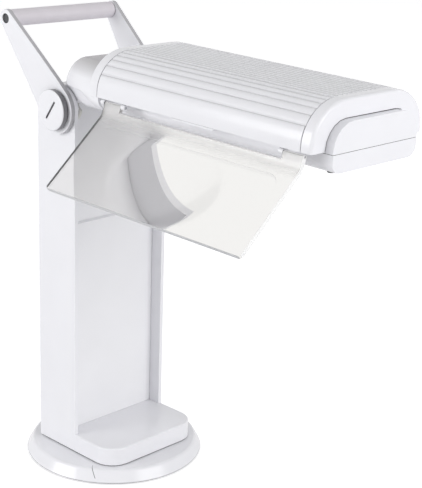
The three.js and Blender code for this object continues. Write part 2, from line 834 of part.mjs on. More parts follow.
function columnParts() {
  part('column_body', columnBody(), white);
  part('front_panel', frontPanel(), panelWhite);
  part('top_cover', topCover(), white);
  part('rear_cover', rearCover(), white);
  repeated('rear_screw', rearScrewPlaces, rearScrew, darkSteel);
  part('foot_plate', footPlate(), steel);
  part('foot_weight', footWeight(), castIron);
  const footScrewLength = footTop - footRoof - footBottom - gap;
  const footScrew = (place) => screwZ(place, footBottom + screwHeadThick, footScrewLength - screwHeadThick);
  repeated('foot_screw', footScrewPlaces, footScrew, darkSteel);
  part('cord_grommet', cordGrommet(), rubber);
  part('ballast_bracket', ballastBracket(), steel);
  part('ballast_core', ballastCore(), darkSteel);
  part('ballast_coil', ballastCoil(), copper);
  part('interlock_switch', interlockSwitch(), blackPlastic);
  part('switch_plunger', switchPlunger(), nylon);
}

// Knob, bolt, friction washer and nut on one side of the tilt hinge.
function tensionKnob(side) {
  const foot = armOuter + gap;
  const face = foot + knobThick;
  const rim = foot + knobRelief;
  const profile = [[0, foot], [knobHubRadius, foot], [knobHubRadius, rim], [knobRadius, rim],
    [knobRadius, face - knobEdge], [knobRadius - knobEdge, face], [0, face]];
  const round = new THREE.LatheGeometry(profile.map(([r, x]) => new THREE.Vector2(r, x)), knobSides);
  const knob = solid(round.rotateZ(-side * Math.PI / 2).translate(0, pivotY, pivotHeight));
  const coin = new THREE.BoxGeometry(2 * knobSlotDepth, knobSlotLength, knobSlotWidth);
  const slot = solid(coin.rotateX(radians(knobSlotAngle)).translate(side * face, pivotY, pivotHeight));
  const bore = sideRod(side, boltRadius, foot - overrun, foot + knobThick / 2 + gap, 16);
  return cut(knob, slot, bore);
}

function sideRod(side, radius, from, to, sides) {
  const ends = [side * from, side * to];
  return rodX(radius, Math.min(...ends), Math.max(...ends), pivotY, pivotHeight, sides);
}

function pivotBolt(side) {
  return sideRod(side, boltRadius - fit, lugInner - nutThick - overrun, armOuter + knobThick / 2, 16);
}

function frictionWasher(side) {
  const ring = sideRod(side, washerRadius, innerHalf - fit - washerThick, innerHalf - fit, 24);
  return cut(ring, sideRod(side, boltRadius + gap, lugInner, half, 16));
}

function hingeParts() {
  [['left', -1], ['right', 1]].forEach(([name, side]) => {
    part(`tension_knob_${name}`, tensionKnob(side), white);
    part(`pivot_bolt_${name}`, pivotBolt(side), steel);
    part(`friction_washer_${name}`, frictionWasher(side), nylon);
  });
}

// A nut inside a hinge lug, turning with the head.
function pivotNut(side) {
  const from = lugInner - nutThick;
  const to = lugInner - fit;
  const nut = rodX(nutRadius, side < 0 ? -to : from, side < 0 ? -from : to, 0, 0, 6);
  return cut(nut, rodX(boltRadius, -postWidth, postWidth, 0, 0, 24));
}

// A handle arm, drawn upright: two circles and their outer tangents, leaning outwards above its hub.
function handleArm(side) {
  const sine = (armPivotRadius - armTipRadius) / armLength;
  const tangent = Math.asin(sine);
  const shape = new THREE.Shape();
  shape.absarc(0, 0, armPivotRadius, Math.PI - tangent, 2 * Math.PI + tangent, false);
  shape.absarc(0, armLength, armTipRadius, tangent, Math.PI - tangent, false);
  shape.closePath();
  const from = side < 0 ? -armOuter : armInner;
  const plate = solid(prism(shape, alongXBasis, 0, armThick, 12).translate(from, 0, 0));
  const bend = knobRadius + overrun;
  const below = block(-postWidth, postWidth, -armLength, armLength, -armLength, bend + gap);
  const above = block(-postWidth, postWidth, -armLength, armLength, bend, 2 * armLength);
  const slope = (side * armSplay) / (armLength - bend);
  const shear = new THREE.Matrix4().set(1, 0, slope, -slope * bend, 0, 1, 0, 0, 0, 0, 1, 0, 0, 0, 0, 1);
  const leaning = solid(geometryOf(plate.intersect(above)).applyMatrix4(shear));
  const face = armOuter + armSplay;
  const boltHole = rodX(boltRadius + gap, -postWidth, postWidth, 0, 0, 16);
  const sink = rodX(tipHoleRadius, side < 0 ? -face - overrun : face - tipHoleDepth,
    side < 0 ? -face + tipHoleDepth : face + overrun, 0, armLength, 20);
  const hole = rodX(gripScrewRadius + fit, -postWidth, postWidth, 0, armLength, 16);
  return cut(join(plate.intersect(below), leaning), boltHole, sink, hole);
}

const gripHalf = armInner + armSplay - gap - (armSplay * gripRadius) / armLength;

function gripBar() {
  const bar = rodX(gripRadius, -gripHalf, gripHalf, 0, armLength, 24);
  return cut(bar, rodX(gripScrewRadius + fit, -postWidth, -gripHalf + gripScrewLength, 0, armLength, 16),
    rodX(gripScrewRadius + fit, gripHalf - gripScrewLength, postWidth, 0, armLength, 16));
}

function gripScrew(side) {
  const headIn = side * (armOuter + armSplay - tipHoleDepth + fit);
  const headOut = headIn + side * screwHeadThick;
  const end = side * (gripHalf - gripScrewLength + overrun);
  return join(
    rodX(tipHoleRadius - gap, Math.min(headIn, headOut), Math.max(headIn, headOut), 0, armLength, 16),
    rodX(gripScrewRadius, Math.min(end, headOut), Math.max(end, headOut), 0, armLength, 16));
}

function handleParts() {
  part('handle_arm_left', handleArm(-1), white, handle);
  part('handle_arm_right', handleArm(1), white, handle);
  part('grip_bar', gripBar(), gripGrey, handle);
  part('grip_screw_left', gripScrew(-1), darkSteel, handle);
  part('grip_screw_right', gripScrew(1), darkSteel, handle);
}

// Arch section of the shade: upright sides, elliptic shoulders and a flat top.
function archPoints(inset, bottom, steps = 12) {
  const halfWidth = shellHalf - inset;
  const top = shellTop - inset;
  const width = shellCornerWidth - inset;
  const height = shellCornerHeight - inset;
  const left = [[-halfWidth, bottom]];
  for (let i = 0; i <= steps; i += 1) {
    const angle = Math.PI - (i / steps) * (Math.PI / 2);
    left.push([-(halfWidth - width) + width * Math.cos(angle), top - height + height * Math.sin(angle)]);
  }
  const right = left.map(([x, h]) => [-x, h]).reverse();
  return [...left, ...right];
}

// Point of the shade's outer arch at a half-width place, with its outward direction.
function archAt(x) {
  const flat = shellHalf - shellCornerWidth;
  if (Math.abs(x) <= flat) return { point: [x, shellTop], out: [0, 1], along: [1, 0] };
  const cosine = (Math.abs(x) - flat) / shellCornerWidth;
  const sine = Math.sqrt(1 - cosine * cosine);
  const out = new THREE.Vector2(cosine / shellCornerWidth, sine / shellCornerHeight).normalize();
  const side = Math.sign(x);
  const height = shellTop - shellCornerHeight + shellCornerHeight * sine;
  return { point: [x, height], out: [side * out.x, out.y], along: [out.y, -side * out.x] };
}

// The ribbed skin: V grooves at an even pitch across the arch, over the shoulders and the top.
function ribbedPoints() {
  const count = Math.floor((shellHalf - ribBorder) / ribPitch);
  const steps = 5;
  const side = [[shellHalf, shellBottom]];
  const flat = shellHalf - shellCornerWidth;
  const last = Math.acos((count * ribPitch - flat) / shellCornerWidth);
  for (let i = 0; i < steps; i += 1) {
    const angle = (i / steps) * last;
    const height = shellTop - shellCornerHeight + shellCornerHeight * Math.sin(angle);
    side.push([flat + shellCornerWidth * Math.cos(angle), height]);
  }
  const across = [];
  for (let k = -count; k <= count; k += 1) {
    const { point, out, along } = archAt(k * ribPitch);
    const w = ribGrooveWidth / 2;
    across.push([point[0] - w * along[0], point[1] - w * along[1]]);
    across.push([point[0] - ribGrooveDepth * out[0], point[1] - ribGrooveDepth * out[1]]);
    across.push([point[0] + w * along[0], point[1] + w * along[1]]);
  }
  return [...side.map(([x, h]) => [-x, h]), ...across, ...side.reverse()];
}

const skinNear = nearTrimFront + seamGap;
const skinFar = shellFar - farTrimLength - seamGap;

function shadeCover() {
  const skin = prismY(outline(ribbedPoints()), -skinFar, -skinNear);
  const inside = outline(archPoints(shellWall, shellBottom - overrun));
  const hollow = prismY(inside, -skinFar - overrun, -skinNear + overrun);
  return cut(skin, hollow);
}

// Body section above or below the seam, with its own corner radii.
function bodyTopPoints(inset, bottom) {
  const x = bodyHalf - inset;
  const top = bodyTop - inset;
  const radius = bodyTopCorner - inset;
  return roundedLoop([[-x, bottom, 0], [x, bottom, 0], [x, top, radius], [-x, top, radius]]);
}

function bodyLowPoints(inset, bottom, top) {
  const x = bodyHalf - inset;
  const radius = Math.max(bodyBottomCorner - inset, bodyWall);
  return roundedLoop([[-x, bottom, radius], [x, bottom, radius], [x, top, 0], [-x, top, 0]]);
}

// The far end frame: the arch's band and end wall, rounded at its outer edge, open round the body.
function farTrim() {
  const ring = (at, inset) => ({ loop: archPoints(inset, shellBottom, 9), at });
  const rings = [ring(shellFar - farTrimLength, 0)];
  const steps = 4;
  for (let i = 0; i <= steps; i += 1) {
    const angle = (i / steps) * (Math.PI / 2);
    rings.push(ring(shellFar - farTrimEdge * (1 - Math.sin(angle)), farTrimEdge * (1 - Math.cos(angle))));
  }
  const bodyHole = prismY(bodyTopPoints(-gap, bodySeam - overrun), -shellFar - overrun, -nearTrimBack);
  const pocket = prismY(outline(archPoints(shellWall, shellBottom - overrun)),
    -shellFar + shellWall + gap, -shellFar + farTrimLength + overrun);
  return cut(loft(rings, alongYBasis), bodyHole, pocket);
}

// Half width of the rounded near end: narrow between the handle arms, flaring to the shade.
function domeHalf(f) {
  return Math.min(domeBackHalf + domeFlare * Math.max(0, f - domeBack), domeFrontHalf);
}

function rounding(radius, depth) {
  if (depth >= radius) return 0;
  return radius - Math.sqrt(radius * radius - (radius - depth) * (radius - depth));
}

// One ring of the near end at a distance forward, grown or shrunk by an offset. The cheeks
// reach below the seam where they pass outside the column's walls when the head is closed.
function domeRing(f, grow, deeper = 0) {
  const depth = f - (domeBack - grow);
  const halfWidth = domeHalf(f) + grow - rounding(domePlanRadius + grow, depth);
  const top = domeTop + grow - rounding(domeTopRadius + grow, depth);
  const cornerWidth = Math.min(domeCornerWidth + grow, halfWidth);
  const cornerHeight = Math.min(domeCornerHeight + grow, top - domeBottom - fit);
  const share = THREE.MathUtils.clamp((f - cheekStart) / (nearTrimFront - cheekStart), 0, 1);
  const drop = domeLip + (cheekDrop - domeLip) * Math.sin((share * Math.PI) / 2);
  const cheekSteps = 3;
  const left = [];
  const lowX = halfWidth - cheekWidth + cheekWidth * Math.sqrt(1 - (drop / cheekHeight) ** 2);
  left.push([-lowX, domeBottom - drop - deeper]);
  for (let i = 1; i <= cheekSteps; i += 1) {
    const down = drop * (1 - i / cheekSteps);
    const across = halfWidth - cheekWidth + cheekWidth * Math.sqrt(1 - (down / cheekHeight) ** 2);
    left.push([-across, domeBottom - down]);
  }
  const cornerSteps = 6;
  for (let i = 0; i <= cornerSteps; i += 1) {
    const angle = Math.PI - (i / cornerSteps) * (Math.PI / 2);
    const across = halfWidth - cornerWidth - cornerWidth * Math.cos(angle);
    left.push([-across, top - cornerHeight + cornerHeight * Math.sin(angle)]);
  }
  const right = left.map(([x, h]) => [-x, h]).reverse();
  return { loop: [...left, ...right], at: f };
}

function domeRings(grow, end, deeper) {
  const start = domeBack - grow;
  const shares = [0.002, 0.04, 0.13, 0.27, 0.46, 0.7, 1];
  const places = shares.map((share) => start + share * (domeTopRadius + grow));
  const steps = 5;
  const from = places.at(-1);
  for (let i = 1; i <= steps; i += 1) places.push(from + ((end - from) * i) / steps);
  return places.map((f) => domeRing(f, grow, deeper));
}

function hingeCap() {
  const hollow = loft(domeRings(-shellWall, nearTrimFront + overrun, 2 * overrun), alongYBasis);
  return cut(loft(domeRings(0, nearTrimFront, 0), alongYBasis), hollow);
}

function nearTrim() {
  const band = prismY(outline(archPoints(0, shellBottom)), -nearTrimFront, -nearTrimBack);
  const inside = archPoints(shellWall, shellBottom - overrun);
  const pocket = prismY(outline(inside), -nearTrimFront - overrun, -nearTrimBack - shellWall);
  return cut(band, pocket, loft(domeRings(gap, nearTrimFront + overrun, overrun), alongYBasis));
}

// Side of the rounded lower end: a circle about the pivot, then a long curve down to the floor.
function bowSide() {
  const from = radians(bowTopAngle);
  const to = radians(bowFootAngle);
  const shape = new THREE.Shape();
  const top = bodySeam - gap / 2;
  shape.moveTo(-bowEnd, top);
  shape.lineTo(-bowEnd, bodyBottom);
  const middle = (bowEnd + bowLowest) / 2;
  shape.bezierCurveTo(-middle, bodyBottom, -middle, bowBottom, -bowLowest, bowBottom);
  const endX = bowRadius * Math.cos(to);
  const endH = bowRadius * Math.sin(to);
  const reach = (bowLowest - endX) / 2;
  shape.bezierCurveTo(-bowLowest + reach, bowBottom,
    -endX - reach * Math.sin(to), endH - reach * Math.cos(to), -endX, endH);
  shape.absarc(0, 0, bowRadius, Math.PI - to, Math.PI - from, true);
  shape.lineTo(-bowRadius * Math.cos(from), top);
  shape.closePath();
  return shape;
}

// A hinge lug: a disc at the pivot with a neck that widens into the rounded lower end.
function hingeLug(side) {
  const from = side < 0 ? -lugOuter : lugInner;
  const disc = rodX(lugRadius, from, from + lugThick, 0, 0, 24);
  const reach = bowRadius + bowFloor;
  const low = radians(lugNeckLowAngle);
  const high = radians(lugNeckHighAngle);
  const neck = prismX(outline([
    [0, 0],
    [-reach * Math.cos(low), reach * Math.sin(low)],
    [-reach * Math.cos(high), reach * Math.sin(high)],
  ]), from, from + lugThick);
  return join(disc, neck);
}

const housingScrewX = windowHalf + screwHeadRadius + overrun;
const housingScrewPlaces = [windowNear + screwHeadRadius, windowFar + screwHeadRadius]
  .flatMap((f) => [[-housingScrewX, -f], [housingScrewX, -f]]);

function lampTray() {
  const top = bodySeam - gap / 2;
  const outer = prismY(bodyLowPoints(0, bodyBottom, top), -bodyFar, -bowEnd + fit);
  const inner = prismY(bodyLowPoints(bodyWall, bodyBottom + bodyWall, top + overrun),
    -bodyFar + bodyWall, -bowEnd + overrun);
  const bow = prismX(bowSide(), -bodyHalf, bodyHalf, 8)
    .intersect(prismY(bodyLowPoints(0, bowBottom, top + overrun), -bowEnd, overrun));
  const floor = bodyBottom + bowFloor;
  const bowHollow = prismX(outline([
    [-bowEnd - bodyWall, floor],
    [-bowHollowNear - bowHollowSlope, floor],
    [-bowHollowNear, top + overrun],
    [-bowEnd - bodyWall, top + overrun],
  ]), -bowNeckHalf, bowNeckHalf);
  const window = prismZ(roundedLoop([
    [-windowHalf, -windowFar, windowCorner], [windowHalf, -windowFar, windowCorner],
    [windowHalf, -windowNear, windowCorner], [-windowHalf, -windowNear, windowCorner],
  ]), 0, bodySeam);
  const screwHoles = housingScrewPlaces.map(([x, y]) => rodZ(screwRadius + fit, 0, bodySeam, x, y, 10));
  const shell = cut(join(outer, bow), inner, bowHollow);
  const bore = rodX(boltRadius + fit, -postWidth, postWidth, 0, 0, 16);
  return cut(join(shell, hingeLug(-1), hingeLug(1)), window, bore, ...screwHoles);
}

const knucklePlaces = [
  lensNear - gap - knuckleLength,
  lensNear + earWidth + gap,
  lensFar - earWidth - gap - knuckleLength,
];

// A barrel for the magnifier's pin, hung on a web under the flange's left edge.
function pinKnuckle(f) {
  const barrel = rodY(knuckleRadius, -f - knuckleLength, -f, -lensPinX, lensPinHeight, 10);
  const web = block(-lensPinX, -lensPinX + 2 * knuckleRadius + fit, -f - knuckleLength, -f,
    lensPinHeight, flangeBottom + flangeThick / 2);
  return join(barrel, web);
}

// The upper shell: an arch over the tube, with side flanges that carry the shade.
function lampHousing() {
  const bottom = bodySeam + gap / 2;
  const near = nearTrimFront + seamGap;
  const outer = prismY(bodyTopPoints(0, bottom), -bodyFar, -near);
  const inner = prismY(bodyTopPoints(bodyWall, bottom - overrun), -bodyFar + bodyWall, -near + overrun);
  const bossBottom = bodyBottom + bodyWall + gap;
  const bosses = housingScrewPlaces.map(([x, y]) => join(
    rodZ(bossRadius, bossBottom, bottom + overrun, x, y, 10),
    rodZ(bossRadius, bottom, bodyTop, x, y, 10).intersect(outer)));
  const outerEdge = shellHalf - shellWall - gap;
  const flanges = [-1, 1].map((s) => block(
    s < 0 ? -outerEdge : bodyInner + fit, s < 0 ? -bodyInner - fit : outerEdge,
    -skinFar, -skinNear, flangeBottom, flangeBottom + flangeThick));
  const knuckles = knucklePlaces.map(pinKnuckle);
  const shadeRoom = block(-shellHalf - overrun, -outerEdge, -bodyFar, 0, shellBottom - gap, shellTop);
  const pinBore = rodY(lensPinRadius + fit, -bodyFar, 0, -lensPinX, lensPinHeight, 10);
  const whole = cut(join(cut(outer, inner), ...bosses, ...flanges, ...knuckles), shadeRoom, pinBore);
  const screwHoles = housingScrewPlaces.map(([x, y]) => (
    rodZ(screwRadius + fit, 0, bodySeam + bossRadius, x, y, 10)));
  return cut(whole, ...screwHoles);
}

function housingScrew(place) {
  return screwZ(place, bodyBottom - fit, bodySeam + bossRadius - bodyBottom - gap);
}

// A folded metal sheet over the tube, open below.
function reflector() {
  const top = bodyInnerTop - gap;
  const outer = [
    [-reflectorFootHalf, reflectorFoot],
    [-reflectorTopHalf, top],
    [reflectorTopHalf, top],
    [reflectorFootHalf, reflectorFoot],
  ];
  const thinner = ([x, h]) => [x - Math.sign(x) * reflectorThick, h > reflectorFoot ? h - reflectorThick : h];
  const inner = outer.map(thinner).reverse();
  return prismY(outline([...outer, ...inner]), -reflectorFar, -reflectorNear);
}

// Two parallel legs joined by a half ring at the far end.
function fluorescentTube() {
  const bend = tubeSpacing / 2;
  const near = tubeBaseNear + tubeBaseLength - overrun;
  const turn = tubeEnd - bend - tubeRadius;
  const legs = [-1, 1].map((s) => rodY(tubeRadius, -turn, -near, s * bend, tubeHeight, tubeSides));
  const circle = new THREE.TorusGeometry(bend, tubeRadius, tubeSides, 20);
  const ring = solid(circle.translate(0, -turn, tubeHeight));
  const behind = block(-shellHalf, shellHalf, -turn, 0, 0, shellTop);
  return join(...legs, cut(ring, behind));
}

function tubeBase() {
  const low = tubeHeight - tubeBaseHeight / 2;
  const far = tubeBaseNear + tubeBaseLength;
  const body = prismY(roundedLoop([
    [-tubeBaseHalf, low, clipWidth], [tubeBaseHalf, low, clipWidth],
    [tubeBaseHalf, low + tubeBaseHeight, clipWidth], [-tubeBaseHalf, low + tubeBaseHeight, clipWidth],
  ]), -far, -tubeBaseNear);
  const seat = -far + overrun + gap;
  const sockets = [-1, 1].map((s) => (
    rodY(tubeRadius + fit, -far - overrun, seat, s * tubeSpacing / 2, tubeHeight, tubeSides)));
  const pinHoles = pinPlaces.map((x) => (
    rodY(pinRadius + fit, -tubeBaseNear - pinSpread, 0, x, tubeHeight, 10)));
  return cut(body, ...sockets, ...pinHoles);
}

const pinPlaces = [-pinSpread, pinSpread];

function contactPin(x) {
  const far = tubeBaseNear + pinSpread - gap;
  return rodY(pinRadius, -far, -(socketNear + socketLength / 2), x, tubeHeight, 10);
}

function lampSocket() {
  const low = tubeHeight - tubeBaseHeight / 2;
  const far = socketNear + socketLength;
  const body = block(-tubeBaseHalf, tubeBaseHalf, -far, -socketNear, low, low + tubeBaseHeight);
  const holes = pinPlaces.map((x) => (
    rodY(pinRadius + fit, -far - overrun, -far + socketLength / 2 + gap, x, tubeHeight, 10)));
  return cut(body, ...holes);
}

// A spring strip under the reflector that holds both legs of the tube.
function tubeClip() {
  const top = bodyInnerTop - gap - reflectorThick - fit;
  const y = -clipPlace;
  const outerRadius = tubeRadius + fit + clipThick;
  const rings = [-1, 1].map((s) => cut(
    rodY(outerRadius, y - clipWidth, y, s * tubeSpacing / 2, tubeHeight, 16),
    rodY(tubeRadius + fit, y - 2 * clipWidth, y + clipWidth, s * tubeSpacing / 2, tubeHeight, tubeSides)));
  const open = block(-shellHalf, shellHalf, y - 2 * clipWidth, y + clipWidth, 0, tubeHeight - tubeRadius / 2);
  const stems = [-1, 1].map((s) => block(
    s * tubeSpacing / 2 - clipThick, s * tubeSpacing / 2 + clipThick, y - clipWidth, y,
    tubeHeight + tubeRadius + 2 * fit, top));
  const reach = tubeSpacing / 2 + clipThick;
  const bridge = block(-reach, reach, y - clipWidth, y, top - clipThick, top);
  return cut(join(...rings, ...stems, bridge), open);
}

function magnifierCatch() {
  const top = shellBottom - fit;
  const low = top - catchDrop;
  const bevel = catchDrop;
  const far = catchNear + catchLength;
  const side = outline([[-far, top], [-far + bevel, low], [-catchNear - bevel, low], [-catchNear, top]]);
  return prismX(side, -shellHalf + gap, -half - 2 * overrun);
}

function headParts() {
  part('pivot_nut_left', pivotNut(-1), steel, head);
  part('pivot_nut_right', pivotNut(1), steel, head);
  part('lamp_tray', lampTray(), white, head);
  part('lamp_housing', lampHousing(), white, head);
  part('hinge_cap', hingeCap(), white, head);
  part('near_trim', nearTrim(), white, head);
  part('shade_cover', shadeCover(), white, head);
  part('far_trim', farTrim(), white, head);
  part('reflector', reflector(), bright, head);
  part('fluorescent_tube', fluorescentTube(), phosphor, head);
  part('tube_base', tubeBase(), nylon, head);
  repeated('contact_pin', pinPlaces, contactPin, brass, head);
  part('lamp_socket', lampSocket(), nylon, head);
  part('tube_clip', tubeClip(), steel, head);
  repeated('housing_screw', housingScrewPlaces, housingScrew, darkSteel, head);
  part('magnifier_catch', magnifierCatch(), white, head);
  part('switch_cam', switchCam(), nylon, head);
}

// Middle line of the clear sheet across the head: a short ear, a bend, a long straight leaf.
function sheetLine() {
  const steps = 6;
  const ear = radians(lensEarAngle);
  const leaf = radians(lensSheetAngle);
  const line = [{ x: -lensPinX, h: lensPinHeight, angle: ear }];
  let x = -lensPinX - lensEarLength * Math.sin(ear);
  let h = lensPinHeight - lensEarLength * Math.cos(ear);
  line.push({ x, h, angle: ear });
  for (let i = 1; i <= steps; i += 1) {
    const before = ear + ((leaf - ear) * (i - 1)) / steps;
    const angle = ear + ((leaf - ear) * i) / steps;
    const chord = (lensBendRadius * (leaf - ear)) / steps;
    x -= chord * Math.sin((before + angle) / 2);
    h -= chord * Math.cos((before + angle) / 2);
    line.push({ x, h, angle });
  }
  x -= lensSheetLength * Math.sin(leaf);
  h -= lensSheetLength * Math.cos(leaf);
  line.push({ x, h, angle: leaf });
  return line;
}

// The clear sheet, its pierced ears, and a low crowned lens raised on its outer face.
function magnifierSheet() {
  const line = sheetLine();
  const t = lensThick / 2;
  const outside = line.map(({ x, h, angle }) => [x - t * Math.cos(angle), h + t * Math.sin(angle)]);
  const inside = line.map(({ x, h, angle }) => [x + t * Math.cos(angle), h - t * Math.sin(angle)]);
  const section = [...outside.reverse(), ...earRound(t), ...inside];
  const sheet = prismY(outline(section), -lensFar, -lensNear);
  const slot = block(-shellHalf - lensEarLength * 2, -half, -lensFar + earWidth, -lensNear - earWidth,
    slotBottom, shellTop);
  const bore = rodY(lensPinRadius + fit, -bodyFar, 0, -lensPinX, lensPinHeight, 10);
  return cut(join(sheet, raisedLens()), slot, bore, ...cornerCuts());
}

// The ear's top is a half round about the pin, from its outer side over to its inner side.
function earRound(radius) {
  const steps = 6;
  const points = [];
  for (let i = 1; i < steps; i += 1) {
    const turn = Math.PI - radians(lensEarAngle) - (Math.PI * i) / steps;
    points.push([-lensPinX + radius * Math.cos(turn), lensPinHeight + radius * Math.sin(turn)]);
  }
  return points;
}

// Frame of the leaf: across it away from the head, along the head, and out of its upper face.
function leafBasis() {
  const leaf = radians(lensSheetAngle);
  const { x, h } = sheetLine().at(-2);
  const across = new THREE.Vector3(-Math.sin(leaf), 0, -Math.cos(leaf));
  const out = new THREE.Vector3(-Math.cos(leaf), 0, Math.sin(leaf));
  const along = new THREE.Vector3().crossVectors(out, across);
  return new THREE.Matrix4().makeBasis(across, along, out).setPosition(x, 0, h);
}

function raisedLens() {
  const t = lensThick / 2;
  const basis = leafBasis();
  const sign = Math.sign(new THREE.Vector3(0, 1, 0).transformDirection(basis).y);
  const loopAt = (inset) => {
    const u0 = lensZoneMargin / 2 + inset;
    const u1 = lensSheetLength - lensZoneMargin - inset;
    const v0 = sign * -(lensFar - lensZoneMargin - inset);
    const v1 = sign * -(lensNear + lensZoneMargin + inset);
    const [low, high] = [Math.min(v0, v1), Math.max(v0, v1)];
    const r = lensZoneCorner - inset;
    return roundedPoints([[u0, low, r], [u1, low, r], [u1, high, r], [u0, high, r]], lensCornerSteps);
  };
  const sections = [
    { loop: loopAt(0), at: t - fit },
    { loop: loopAt(lensRim), at: t + lensRim },
    { loop: loopAt(lensZoneCorner / 3), at: t + lensRim + lensCrown / 2 },
    { loop: loopAt(lensZoneCorner * 2 / 3), at: t + lensRim + lensCrown },
  ];
  return loft(sections, basis);
}

// Small rounds at the leaf's two outer corners.
function cornerCuts() {
  const basis = leafBasis();
  const sign = Math.sign(new THREE.Vector3(0, 1, 0).transformDirection(basis).y);
  return [[lensNear, 1], [lensFar, -1]].map(([f, inward]) => {
    const corner = [lensSheetLength, -sign * f];
    const step = -sign * inward * lensCorner;
    const centre = [corner[0] - lensCorner, corner[1] + step];
    const beyond = corner[0] + overrun;
    const points = [[beyond, corner[1] - Math.sign(step) * overrun], [beyond, centre[1]]];
    const steps = 5;
    for (let i = 0; i <= steps; i += 1) {
      const angle = (Math.PI / 2) * (i / steps);
      points.push([centre[0] + lensCorner * Math.cos(angle), centre[1] - step * Math.sin(angle)]);
    }
    points.push([centre[0], corner[1] - Math.sign(step) * overrun]);
    return loft([{ loop: points, at: -lensThick }, { loop: points, at: lensThick }], basis);
  });
}

function magnifierPin([from, to]) {
  return rodY(lensPinRadius, -to, -from, -lensPinX, lensPinHeight, 10);
}

const magnifierPinPlaces = [
  [lensNear - gap - knuckleLength, lensNear + earWidth + gap + knuckleLength],
  [lensFar - earWidth - gap - knuckleLength, lensFar - gap],
];

function magnifierParts() {
  part('magnifier_sheet', magnifierSheet(), clear, head);
  repeated('magnifier_pin', magnifierPinPlaces, magnifierPin, steel, head);
}

baseParts();
columnParts();
hingeParts();
handleParts();
headParts();
magnifierParts();

export default lamp;
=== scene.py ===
# %% [markdown]
# # A folding magnifier lamp, dressed in Blender
# The lamp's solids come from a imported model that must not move, so this lesson only gives them
# a camera, finishes, soft edges, a room and light. Every length is in metres and every piece is
# already in its place: +Z runs up the column, the lamp head reaches out to -Y, and the clear
# magnifier hangs on the -X side.

import math

import bmesh
import bpy
from mathutils import Matrix, Vector


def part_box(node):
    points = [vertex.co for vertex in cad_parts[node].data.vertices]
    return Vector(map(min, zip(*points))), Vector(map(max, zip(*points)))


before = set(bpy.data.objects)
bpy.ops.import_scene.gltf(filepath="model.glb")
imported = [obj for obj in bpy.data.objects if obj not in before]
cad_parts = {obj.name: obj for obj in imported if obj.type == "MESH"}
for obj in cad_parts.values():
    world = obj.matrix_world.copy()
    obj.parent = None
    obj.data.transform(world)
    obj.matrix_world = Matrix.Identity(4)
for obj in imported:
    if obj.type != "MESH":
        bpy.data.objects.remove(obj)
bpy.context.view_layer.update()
print("nodes:", len(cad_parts))

# %% [markdown]
# ## The camera
# A product photograph taken from close by shows converging lines, so the camera needs a real
# place and a real lens. Both were fitted to points and lines measured on the picture: the disc's
# outline, the column's upright edges, the foot's edges and corners, a knob, the handle's tip and
# the grip bar. A free orbit to a pleasing view would be quicker, but then no edge could be
# compared with the picture.

# %% Place the camera
AZIMUTH = math.radians(46.017)
ELEVATION = math.radians(17.317)
ROLL = math.radians(1.864)
EYE = Vector((-0.67782, -0.76479, 0.50614))
FOCAL_PIXELS = 1270.83
IMAGE_HEIGHT = 488
SENSOR_HEIGHT = 24.0
NEAR_CLIP = 0.05
FAR_CLIP = 30

toward_eye = Vector((
    -math.sin(AZIMUTH) * math.cos(ELEVATION),
    -math.cos(AZIMUTH) * math.cos(ELEVATION),
    math.sin(ELEVATION),
))
level_right = Vector((0, 0, 1)).cross(toward_eye).normalized()
level_up = toward_eye.cross(level_right)
image_right = math.cos(ROLL) * level_right + math.sin(ROLL) * level_up
image_up = -math.sin(ROLL) * level_right + math.cos(ROLL) * level_up

lens = bpy.data.cameras.new("camera")
lens.sensor_fit = "VERTICAL"
lens.sensor_height = SENSOR_HEIGHT
lens.lens = FOCAL_PIXELS / IMAGE_HEIGHT * SENSOR_HEIGHT
lens.clip_start = NEAR_CLIP
lens.clip_end = FAR_CLIP
camera = bpy.data.objects.new("camera", lens)
axes = Matrix((image_right, image_up, toward_eye)).transposed()
camera.matrix_world = Matrix.Translation(EYE) @ axes.to_4x4()
bpy.context.scene.collection.objects.link(camera)
bpy.context.scene.camera = camera
print("lens:", round(lens.lens, 2), "mm")

# %% [markdown]
# ## Shader maths as plain Python
# A finish is a small sum of patterns: a colour that drifts, a gloss that is duller where hands
# touch, a bump too fine to see. Wiring each sum by hand hides the idea under nodes. One small
# class that wraps a socket lets the sums be written as Python, and it still makes ordinary nodes.

# %% Wrap a socket so that it takes part in sums
COLOUR, VECTOR, NUMBER = "RGBA", "VECTOR", "VALUE"


class Field:
    """One output socket of a tree, as a value that can be added or multiplied."""

    def __init__(self, finish, socket):
        self.finish = finish
        self.socket = socket

    def _with(self, other, operation, swapped=False):
        first, second = (other, self) if swapped else (self, other)
        kinds = {kind_of(first), kind_of(second)}
        if COLOUR in kinds:
            return self.finish.blend(operation, first, second)
        kind = "ShaderNodeVectorMath" if VECTOR in kinds else "ShaderNodeMath"
        return self.finish.node(kind, {"operation": operation}, {0: first, 1: second})

    def __add__(self, other):
        return self._with(other, "ADD")

    def __radd__(self, other):
        return self._with(other, "ADD", True)

    def __sub__(self, other):
        return self._with(other, "SUBTRACT")

    def __rsub__(self, other):
        return self._with(other, "SUBTRACT", True)

    def __mul__(self, other):
        return self._with(other, "MULTIPLY")

    def __rmul__(self, other):
        return self._with(other, "MULTIPLY", True)


def kind_of(value):
    """Whether a value is a number, a vector or a colour."""
    if isinstance(value, Field):
        return value.socket.type
    if isinstance(value, (int, float)):
        return NUMBER
    return COLOUR if len(value) == 4 else VECTOR


print("sums of fields are ready")

# %% [markdown]
# Colours take another road than numbers: a Math node would turn a colour grey, so sums with a
# colour in them go through a Mix node, and sums of vectors through Vector Math. All nodes but a
# tree's output come from one method, which sets the node's own settings first and its sockets
# after. A Mix node has a row of sockets for each kind of value, so those in use get names.

# %% One finish, and the one method that makes its nodes
MIX_FACTOR = 0
VECTOR_A, VECTOR_B, VECTOR_RESULT = 4, 5, 1
COLOUR_A, COLOUR_B, COLOUR_RESULT = 6, 7, 2


